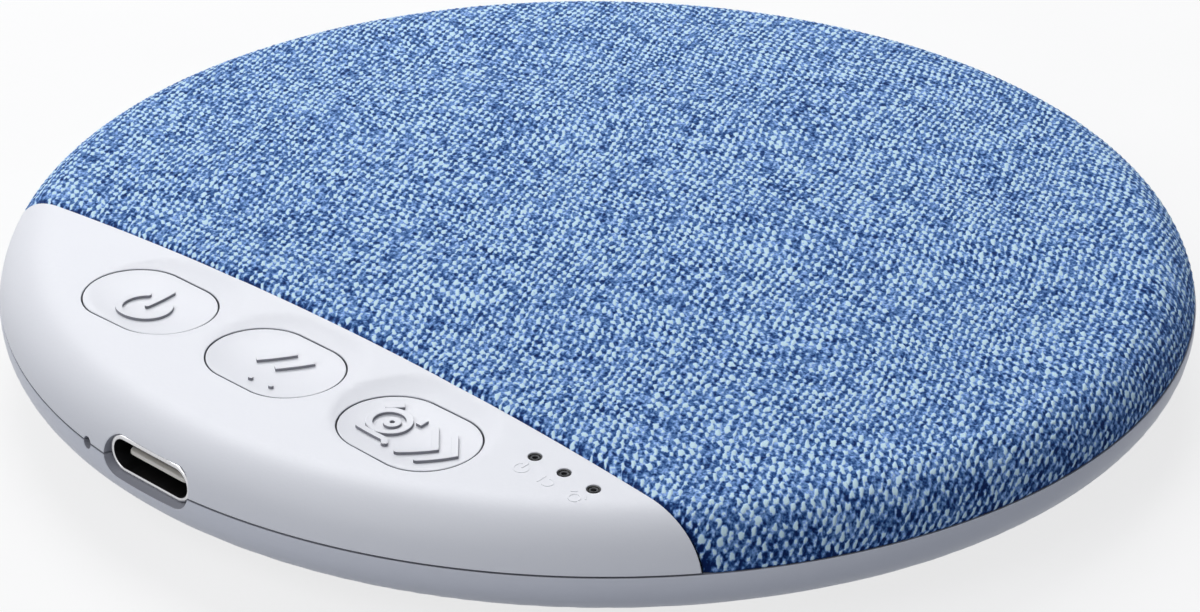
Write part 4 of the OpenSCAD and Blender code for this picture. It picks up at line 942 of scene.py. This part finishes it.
def alarm_lines():
    """Clock with a hub and two bells on a foot line, and two arrow heads."""
    clock = np.array((-2.55, 0.33))
    lines = [(arc(clock, 1.85 - MARK_W / 2, 0, 354), {"closed": True}),
             (arc(clock + (0.2, 0.1), 0.46, 0, 345, 24), {"closed": True, "width": 0.5}),
             (bar((-4.35, 1.55), (-3.26, 2.64)), {"square": True}), (bar((-0.6, 1.5), (-0.6, 2.3)), {"square": True}),
             (np.vstack([bar((-3.65, -1.8), (-0.9, -1.8)), bar((-0.75, -1.9), (-0.4, -2.25), 6)]), {})]
    for tip in (np.array((2.85, -0.1)), np.array((4.9, -0.05))):
        lines.append((np.vstack([bar(tip + (-2.05, 2.05), tip), bar(tip, tip + (-1.65, -2.35))[1:]]), {}))
    return lines


print("strokes:", len(power_lines()), len(play_lines()), len(alarm_lines()))

# %% Caps
CAP_EDGE, CAP_SKIRT, CAP_REACH, FLANGE, FLANGE_GAP, FLANGE_EDGE = 0.06, 1.9, 8.0, 0.7, 0.15, 0.1
POST_R, POST_BEVEL, POST_LOW, POST_HIGH = 1.5, 0.2, 8.4, 10.2


def slab(loop, low_z, high_z, edge):
    """Flat plate over a plan loop, with round edges."""
    loop = inset(loop, edge)
    inner = clear_of(lattice((1.2, 0), (0.6, 1.04), PATTERN_HALF), [loop], 0.5)
    flat, tri = fill([loop], inner)
    upper = np.column_stack([flat, np.full(len(flat), high_z)])
    upright = np.tile([0.0, 0.0, 1.0], (len(flat), 1))
    return thick((upper, upright, tri), (upper - upright * (high_z - low_z), upright, tri), [len(loop)],
                 high_z - low_z, edge, 2)


def cap(name, x, lines):
    """One cap at x: dished top with a skirt, flange, post and the raised lines of its pictogram."""
    loop = top.from_plan(oval(x, ROW_Y, CAP_HALF, CAP_R, 150))
    inner = lattice((0.5, 0), (0.25, 0.433), PATTERN_HALF)
    inner = clear_of(inner[np.hypot(inner[:, 0] - x, inner[:, 1] - ROW_Y) < CAP_REACH], [loop], 0.22)
    parts = [moulding(top, [loop], inner, CAP_SKIRT, CAP_EDGE, dished)]
    edge_r = np.hypot(abs(x) + CAP_HALF, ROW_Y) + CAP_R + FLANGE
    flange_z = CROWN_CZ + math.sqrt((CROWN_R - WALL) ** 2 - edge_r ** 2) - FLANGE_GAP
    parts.append(slab(oval(x, ROW_Y, CAP_HALF, CAP_R + FLANGE, 80), flange_z - FLANGE, flange_z, FLANGE_EDGE))
    post = [(0, POST_LOW), (POST_R - POST_BEVEL, POST_LOW), (POST_R, POST_LOW + POST_BEVEL), (POST_R, POST_HIGH),
            (0, POST_HIGH)]
    parts.append(lathe(post, (x, ROW_Y), 32))
    for path, style in lines:
        style = {"width": MARK_W, "height": MARK_H} | style
        parts.append(stroke(path + (x, ROW_Y), ground=top_face, **style))
    key = name.split("_")[0]
    # Second finish: the grey of painted shade on the flanks and the skirt
    piece(f"{key}_cap", parts, [cap_white, painted_flank_shade], f"{key}_key", [name])


ALL_LINES = {"power_button": power_lines(), "play_button": play_lines(), "alarm_button": alarm_lines()}
for x, (name, lines) in zip(CAP_X, ALL_LINES.items()):
    cap(name, x, lines)

# %% [markdown]
# ## The indicator lamps
# Three light guides of smoked plastic end just below the panel. Each is a turned rod with a collar that rests under the
# panel. Its end is dished: a dark rim, a ring and a dark middle, and the ring is a lighter grey, a painted highlight.
# In front of each lamp a very shallow pictogram is moulded into the panel, so faint that only its edges show.

# %% Light guides
GUIDE_R, COLLAR_R, COLLAR_T, COLLAR_GAP = 0.5, 1.0, 0.6, 0.2
RING_R, RING_HALF, RING_DEPTH = 0.29, 0.075, 0.3


def guide_profile(low_z, collar_z, face_z):
    """Rod with a collar and a dished end, from the bottom of its axis outwards, up and back to the axis."""
    end = [(GUIDE_R, -0.05), (0.47, -0.01), (0.43, -0.02), (0.39, -0.12), (0.36, -0.10), (0.31, -0.06), (0.26, -0.07),
           (0.22, -0.11), (0.19, -0.24), (0, -0.28)]
    under_z = collar_z - COLLAR_T
    return [(0, low_z), (GUIDE_R, low_z), (GUIDE_R, under_z), (COLLAR_R, under_z), (COLLAR_R, collar_z),
            (GUIDE_R, collar_z)] + [(r, face_z + d) for r, d in end]


for number, x in enumerate(LAMP_X, 1):
    name = f"indicator_lens_{number}"
    face_z = float(top_face(np.array([[x, LAMP_Y]]))[0][0, 2])
    collar_z = face_z - WALL - COLLAR_GAP
    profile = guide_profile(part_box(name)[0].z / MM, collar_z, face_z)
    points, normals, (quads, *ends) = lathe(profile, (x, LAMP_Y), 40)
    centre = points[quads].mean(1) - (x, LAMP_Y, face_z)
    # The ring's faces take the lighter grey of the painted highlight
    ring = (np.abs(np.hypot(*centre[:, :2].T) - RING_R) < RING_HALF) & (centre[:, 2] > -RING_DEPTH)
    piece(f"light_guide_{number}", [(points, normals, [quads[~ring], quads[ring], *ends], [0, 1, 0, 0])],
          [smoke_black, painted_ring_highlight], stands_for=[name])

# %% Faint pictograms and the panel piece
FAINT = {"width": 0.13, "height": 0.03, "ground": top_face}
SIGN_Y, SIGN_SHIFTS = LAMP_Y - 1.75, (0.3, -0.1, -0.25)
signs = [[arc((0, 0), 0.58, 130, 410), bar((0, 0.08), (0, 0.68), 6)],
         [bar((-0.55, -0.4), (-0.55, 0.45), 6), arc((0.1, 0), 0.45, -110, 110, 30)],
         [arc((0, 0), 0.45, 0, 330), bar((-0.72, 0.42), (-0.42, 0.68), 5), bar((0.42, 0.68), (0.72, 0.42), 5)]]
for x, shift, sign in zip(LAMP_X, SIGN_SHIFTS, signs):
    panel_parts += [stroke(path + (x + shift, SIGN_Y), **FAINT)[:3] for path in sign]
# Second finish: the grey of painted shade on the walls of the openings and the rim
piece("front_panel", panel_parts, [panel_white, painted_seam_shade], stands_for=["control_panel"])

# %% [markdown]
# ## The bottom shell
# The shell is one moulding too: belly, lower rim, six screw wells and the lower halves of the two notches. It is drawn
# on the lower pattern, seen from below. A flat floor closes the recess for the pad, a sleeve stands in each well,
# and a lip behind the parting line closes it to light.

# %% Bottom shell
SHELL_EDGE, RECESS_R, RECESS_Z, RECESS_TOP, RECESS_LAP = 0.06, 30.07, 1.0, 2.0, 0.6
WELL_R, WELL_OUT, WELL_TOP, HOLE_R, SEAT_Z, MOUTH_GAP = 1.9, 2.2, 5.0, 1.05, 3.8, 0.1
BORE_R = WELL_R - 0.04
WELLS = np.array([(24.4, -36.85), (-24.4, -36.85), (39.88, -12.19), (-39.88, -12.19), (28.97, 30.0), (-28.97, 30.0)])
s_hem, pin_line, socket_line = hem_line(low, PART_Z)
shell_loop = np.vstack([socket_line[::-1], rim_line(s_hem, socket_line[0], pin_line[-1], 0.5)[1:-1],
                        pin_line[::-1], rim_line(s_hem, pin_line[0], socket_line[-1], 0.8)[1:-1]])
holes = [oval(0, 0, 0, RECESS_R, 160)[::-1]] + [low.from_plan(oval(x, y, 0, WELL_R, 36)) for x, y in WELLS]
shell_points = clear_of(lattice((1.0, 0), (0.5, 0.866), PATTERN_HALF), [shell_loop] + holes, 0.4)
shell_parts = [moulding(low, [shell_loop] + holes, shell_points, WALL, SHELL_EDGE)]
lap_r = RECESS_R + RECESS_LAP
shell_parts.append(lathe([(0, RECESS_Z), (lap_r, RECESS_Z), (lap_r, RECESS_TOP), (0, RECESS_TOP)], count=128))
for x, y in WELLS:
    mouth = float(np.interp(np.hypot(x, y) + WELL_OUT, low.table_r, low.table_z)) + MOUTH_GAP
    shell_parts.append(lathe([(HOLE_R, SEAT_Z), (BORE_R, SEAT_Z), (BORE_R, mouth), (WELL_OUT, mouth),
                              (WELL_OUT, WELL_TOP), (HOLE_R, WELL_TOP)], (x, y), 36))
print("wells:", len(WELLS), "rim points:", len(shell_loop))

# %% Lip and bottom shell piece
LIP_IN, LIP_OUT, LIP_LOW, LIP_HIGH, FOOT_R, FOOT_Z = 46.45, 47.25, 5.6, 8.0, 49.2, 6.9
# Stretches of the lip in degrees: it is open at the socket, at the pinhole and where the cloth's edge meets the rim
LIP_TURNS = (-83.0, -40.5), (-36.5, 216.5), (220.5, 260.0), (262.5, 263.0)
lip = [(LIP_IN, LIP_LOW), (FOOT_R, LIP_LOW), (FOOT_R, FOOT_Z), (LIP_OUT, FOOT_Z), (LIP_OUT, LIP_HIGH),
       (LIP_IN, LIP_HIGH)]
for start, end in LIP_TURNS:
    shell_parts.append(lathe(lip, count=max(int(end - start), 2), turn=(start, end)))
# Second finish: the grey of painted shade on the walls of the wells, the recess and the parting line
piece("bottom_shell", shell_parts, [shell_white_painted_shade, painted_seam_shade], stands_for=["base_shell"])

# %% [markdown]
# ## The pad
# Underneath, a disc of dark silicone rubber keeps the speaker from sliding. It is a turned profile with
# a round edge and fine ring grooves, and its finish is matt with a little dust.

# %% Pad
PAD_R, PAD_T, PAD_EDGE = 29.97, 1.0, 0.4
GROOVE_STEP, GROOVE_DEPTH, GROOVES_FROM, GROOVES_TO = 3.0, 0.18, 2.0, 28.5


def silicone(name, colour):
    """Matt rubber: two noises make a faint bloom of dust and a fine skin."""
    material, tree, shader = new_finish(name)
    place = add(tree, "TexCoord").outputs["Object"]
    dust = noise(tree, place, 180.0, 6.0)
    dusty = tuple(min(c * 1.6 + 0.01, 1) for c in colour[:3]) + (1.0,)
    dress(tree, shader, blend_colour(tree, dust, colour, dusty), ranged(tree, dust, 0, 1, 0.62, 0.85),
          noise(tree, place, 4200.0), 0.4, 0.00005)
    return material


def pad_profile():
    """Underside with nine ring grooves, a round edge and a flat top. A groove is where a cosine of the radius comes
    near its own top."""
    r = np.linspace(0, PAD_R - PAD_EDGE, 300)
    groove = np.maximum(np.cos(2 * np.pi * (r - GROOVE_STEP) / GROOVE_STEP) - 0.9, 0) * 10 * GROOVE_DEPTH
    groove = groove * (r > GROOVES_FROM) * (r < GROOVES_TO)
    a = np.linspace(-np.pi / 2, 0, 7)[1:]
    edge = np.column_stack([PAD_R - PAD_EDGE + PAD_EDGE * np.cos(a), PAD_EDGE + PAD_EDGE * np.sin(a)])
    return np.vstack([np.column_stack([r, groove]), edge, [(PAD_R, PAD_T), (0, PAD_T)]])


dark_silicone = silicone("dark_silicone", (0.05, 0.05, 0.055, 1))
piece("silicone_pad", [lathe(pad_profile(), count=128)], dark_silicone, stands_for=["base_pad"])

# %% [markdown]
# ## The charging socket
# A bent steel sleeve with an oval section stands a little behind the opening. Its mouth is rolled, so a bright ring
# shows round the inside, whose faces are a near-black copy of the steel, a painted shade. The sleeve is a rounded
# rectangular profile carried round the oval. Its finish is bare metal: fine streaks along the way it was drawn, and
# places where it has gone dull.

# %% Socket sleeve
MOUTH_Y, SLEEVE_Z, SLEEVE_HALF, SLEEVE_R, SLEEVE_T, SLEEVE_L = -49.2, 7.72, 3.02, 1.58, 0.36, 7.4


def sleeve(x, z, half, radius, wall, start, length, count=96):
    """Oval tube along Y: each point of the wall's section, (depth, distance in from the outside), goes round."""
    section = rounded([(start + length, 0), (start, 0), (start, wall), (start + length, wall)],
                      [0.02, wall * 0.45, wall * 0.45, 0.02], 5)
    a = np.linspace(0, 2 * np.pi, count, endpoint=False) + np.pi / count
    way = np.stack([np.cos(a), np.sin(a)], -1)
    steps = np.roll(section, -1, 0) - np.roll(section, 1, 0)
    steps /= np.linalg.norm(steps, axis=1)[:, None]
    face = np.column_stack([-steps[:, 1], steps[:, 0]])
    r, size = radius - section[:, 1:], (len(section), count)
    depth, ahead = (np.broadcast_to(column[:, :1], size) for column in (section, face))
    points = np.stack([x + r * way[:, 0] + half * np.sign(way[:, 0]), depth, z + r * way[:, 1]], -1)
    normals = np.stack([-face[:, 1:] * way[:, 0], ahead, -face[:, 1:] * way[:, 1]], -1)
    row = np.arange(len(section) * count).reshape(size)
    after = np.roll(row, -1, 0)
    quads = np.stack([row, np.roll(row, -1, 1), np.roll(after, -1, 1), after], -1)
    # The inner faces take the second finish, near-black steel as painted shade
    inner = section[:, 1] > wall * 0.9
    faces = [quads[~inner].reshape(-1, 4), quads[inner].reshape(-1, 4)]
    return points.reshape(-1, 3), normals.reshape(-1, 3), faces, [0, 1]


def drawn_metal(name, colour, rough=0.28):
    """Bare metal: fine streaks along one axis move the roughness, and slow noise dulls the colour in places."""
    material, tree, shader = new_finish(name)
    place = add(tree, "TexCoord").outputs["Object"]
    drawn = add(tree, "Mapping", {0: place, "Scale": (1.0, 0.05, 1.0)}).outputs[0]
    streaks = noise(tree, drawn, 2500.0)
    dress(tree, shader, blend_colour(tree, noise(tree, place, 300.0, 3.0), darker(colour, 0.25), colour),
          ranged(tree, streaks, 0.3, 0.7, rough - 0.08, rough + 0.1), streaks, 0.25, 0.00002)
    shader.inputs["Metallic"].default_value = 1.0
    return material


socket_steel = drawn_metal("socket_steel", (0.72, 0.72, 0.74, 1))
# A near-black copy of the steel for the sleeve's inside: painted shade
socket_steel_painted_shade = drawn_metal("socket_steel_painted_shade", (0.03, 0.03, 0.032, 1), 0.5)
piece("socket_sleeve", [sleeve(0, SLEEVE_Z, SLEEVE_HALF, SLEEVE_R, SLEEVE_T, MOUTH_Y, SLEEVE_L)],
      [socket_steel, socket_steel_painted_shade], stands_for=["charge_socket_shell"])

# %% [markdown]
# ## The socket's tongue
# Inside the sleeve a thin cream plate carries the contacts, and a block holds it at the back. Towards its nose the
# plate gets thinner. Only the nose keeps the cream colour: behind it, where the contact rows and the sleeve's shadow
# begin, the colour is painted from cream to a dark grey over less than half a millimetre, a painted shade.

# %% Socket tongue
TONGUE_HALF, TONGUE_T, TONGUE_Y, TONGUE_CORNER, TONGUE_EDGE = 3.35, 0.7, -48.5, 0.5, 0.15
# Nose length and share of thickness, and the depths where the painted shade starts and where it is full
NOSE_L, NOSE_SHARE, PALE_L, DARK_L = 0.6, 0.42, 0.3, 0.7
BLOCK_HALF, BLOCK_Y, BLOCK_L, BLOCK_CORNER, BLOCK_EDGE, BLOCK_LAP = 3.3, -43.9, 1.8, 0.2, 0.1, 0.5
BLOCK_LOW, BLOCK_HIGH = SOCKET_Z - 1.0, SOCKET_Z + 1.15


def plate(half, front, back, corner):
    """Plan loop of a plate: a rectangle with rounded corners."""
    box = [(-half, front), (half, front), (half, back), (-half, back)]
    return spread(rounded(box, corner), 0.25, closed=True)


outline = plate(TONGUE_HALF, TONGUE_Y, BLOCK_Y + BLOCK_LAP, TONGUE_CORNER)
points, *rest = slab(outline, SOCKET_Z - TONGUE_T / 2, SOCKET_Z + TONGUE_T / 2, TONGUE_EDGE)
nose = np.interp(points[:, 1], [TONGUE_Y, TONGUE_Y + NOSE_L], [NOSE_SHARE, 1.0])
points[:, 2] = SOCKET_Z + (points[:, 2] - SOCKET_Z) * nose
block = slab(plate(BLOCK_HALF, BLOCK_Y, BLOCK_Y + BLOCK_L, BLOCK_CORNER), BLOCK_LOW, BLOCK_HIGH, BLOCK_EDGE)
cream = moulded("socket_cream", srgb(244, 240, 230), 0.05, 0.4)
tree = cream.node_tree
base = tree.nodes["Principled BSDF"].inputs["Base Color"]
# Painted shade: the cream turns dark grey from the nose back into the sleeve
depth = add(tree, "SeparateXYZ", {0: add(tree, "TexCoord").outputs["Object"]}).outputs[1]
painted_shade_share = ranged(tree, depth, (TONGUE_Y + PALE_L) * MM, (TONGUE_Y + DARK_L) * MM)
tree.links.new(blend_colour(tree, painted_shade_share, base.links[0].from_socket, srgb(52, 50, 48)), base)
piece("socket_tongue", [(points, *rest), block], cream, stands_for=["charge_socket_tongue"])

# %% [markdown]
# ## The pinhole's dark rod
# Left of the socket a pinhole on the parting line shows the charge lamp. A short black rod with a domed end fills it:
# a dark piece that stands for the shade inside the hole, a painted shade. It is turned upright first, and then laid
# along the radius.

# %% Pinhole's dark rod
def laid(part, start, ahead):
    """A turned part laid down: its axis leaves the point start in a level direction, and its Y axis points up."""
    points, normals, faces = part
    turn = np.array([[-ahead[1], ahead[0], 0], [0, 0, 1], [*ahead, 0]])
    return points @ turn + start, normals @ turn, faces


ROD_R, ROD_START = 0.45, 47.6
outward = np.array([PIN_X, -math.sqrt(BODY_R ** 2 - PIN_X ** 2)]) / BODY_R
rod = lathe([(0, 0), (ROD_R, 0), (ROD_R, 1.5), (0.41, 1.62), (0.30, 1.70), (0.15, 1.74), (0, 1.75)], count=32)
# A black rod in the pinhole: painted shade of the hole
piece("pin_shade_rod", [laid(rod, (*outward * ROD_START, PART_Z), outward)], smoke_black)

# %% [markdown]
# ## Finishes for the solids that stay
# The pieces inside and the small hard ones outside keep their solids. Each material slot of the record gets a finish of
# its own, from a few families: plastics, rubbers, metals and speckled ones such as laminate, ceramic and paper.

# %% Finishes by slot
def speckled(name, colour, other, scale, rough=0.6, stretch=EVEN, metal=0.0, relief=0.00003):
    """A material of two tones in fine patches, for laminate, ceramic, foam, foil, paper and wound wire."""
    material, tree, shader = new_finish(name)
    place = add(tree, "Mapping", {0: add(tree, "TexCoord").outputs["Object"], "Scale": stretch}).outputs[0]
    patch = noise(tree, place, scale, 4.0)
    dress(tree, shader, blend_colour(tree, ranged(tree, patch, 0.35, 0.65), (*colour, 1), (*other, 1)),
          ranged(tree, patch, 0, 1, rough - 0.1, rough + 0.1), patch, 0.4, relief)
    shader.inputs["Metallic"].default_value = metal
    return material


FINISHES = {
    "shell_plastic": shell_white_painted_shade, "panel_plastic": panel_white, "button_plastic": cap_white, "cover_fabric": cloth,
    "pad_rubber": dark_silicone, "socket_steel": socket_steel,
    "grille_plastic": moulded("grille_black", (0.02, 0.025, 0.03, 1), 0.3, 0.55),
    "lens_plastic": smoke_black,
    "lamp_resin": moulded("lamp_resin", (0.85, 0.80, 0.55, 1), 0.08, 0.2),
    "screw_steel": drawn_metal("screw_steel", (0.55, 0.55, 0.57, 1)),
    # The cream with the tongue's painted shade
    "socket_insulator": cream,
    "contact_plating": drawn_metal("contact_plating", (0.85, 0.55, 0.32, 1), 0.25),
    "switch_metal": drawn_metal("switch_metal", (0.62, 0.62, 0.64, 1)),
    "switch_plastic": moulded("switch_black", (0.025, 0.025, 0.028, 1), 0.3, 0.5),
    "board_laminate": speckled("board_laminate", (0.01, 0.10, 0.045), (0.015, 0.14, 0.06), 900, 0.35),
    "chip_resin": speckled("chip_resin", (0.012, 0.012, 0.014), (0.025, 0.025, 0.028), 2500, 0.5),
    "crystal_can": drawn_metal("crystal_can", (0.75, 0.75, 0.74, 1), 0.25),
    "ceramic_tan": speckled("ceramic_tan", (0.42, 0.26, 0.13), (0.52, 0.34, 0.18), 1800, 0.4),
    "ceramic_white": speckled("ceramic_white", (0.74, 0.74, 0.70), (0.84, 0.84, 0.81), 1500, 0.35),
    "battery_foil": speckled("battery_foil", (0.55, 0.56, 0.58), (0.68, 0.69, 0.71), 350, 0.35, (1, 2, 1), 0.8, 0.0001),
    "pad_foam": speckled("pad_foam", (0.05, 0.05, 0.055), (0.10, 0.10, 0.11), 1600, 0.9, relief=0.0002),
    "connector_nylon": moulded("connector_nylon", (0.80, 0.78, 0.70, 1), 0.08, 0.45),
    "lead_red_skin": moulded("lead_red", (0.50, 0.03, 0.03, 1), 0.15, 0.45),
    "lead_black_skin": moulded("lead_black", (0.02, 0.02, 0.022, 1), 0.3, 0.45),
    "frame_steel": drawn_metal("frame_steel", (0.45, 0.45, 0.47, 1), 0.4),
    "yoke_steel": drawn_metal("yoke_steel", (0.62, 0.62, 0.66, 1), 0.3),
    "magnet_metal": drawn_metal("magnet_nickel", (0.60, 0.58, 0.54, 1), 0.22),
    "coil_copper": speckled("coil_copper", (0.55, 0.22, 0.10), (0.70, 0.30, 0.14), 2600, 0.35, (0.05, 0.05, 1), 0.9),
    "cone_paper": speckled("cone_paper", (0.03, 0.03, 0.032), (0.065, 0.062, 0.058), 1400, 0.85, relief=0.00008),
    "surround_rubber": silicone("surround_rubber", (0.015, 0.015, 0.016, 1)),
    "terminal_board": speckled("terminal_board", (0.35, 0.20, 0.08), (0.45, 0.28, 0.12), 1200, 0.5),
}
slot_of = {row["node"]: row["material_slot"] for row in frame["record"]["subparts"]}
for name, node in frame["nodes"].items():
    node.data.materials.clear()
    node.data.materials.append(FINISHES[slot_of[name]])
print("finishes:", len(FINISHES), "for", len(frame["nodes"]), "solids")
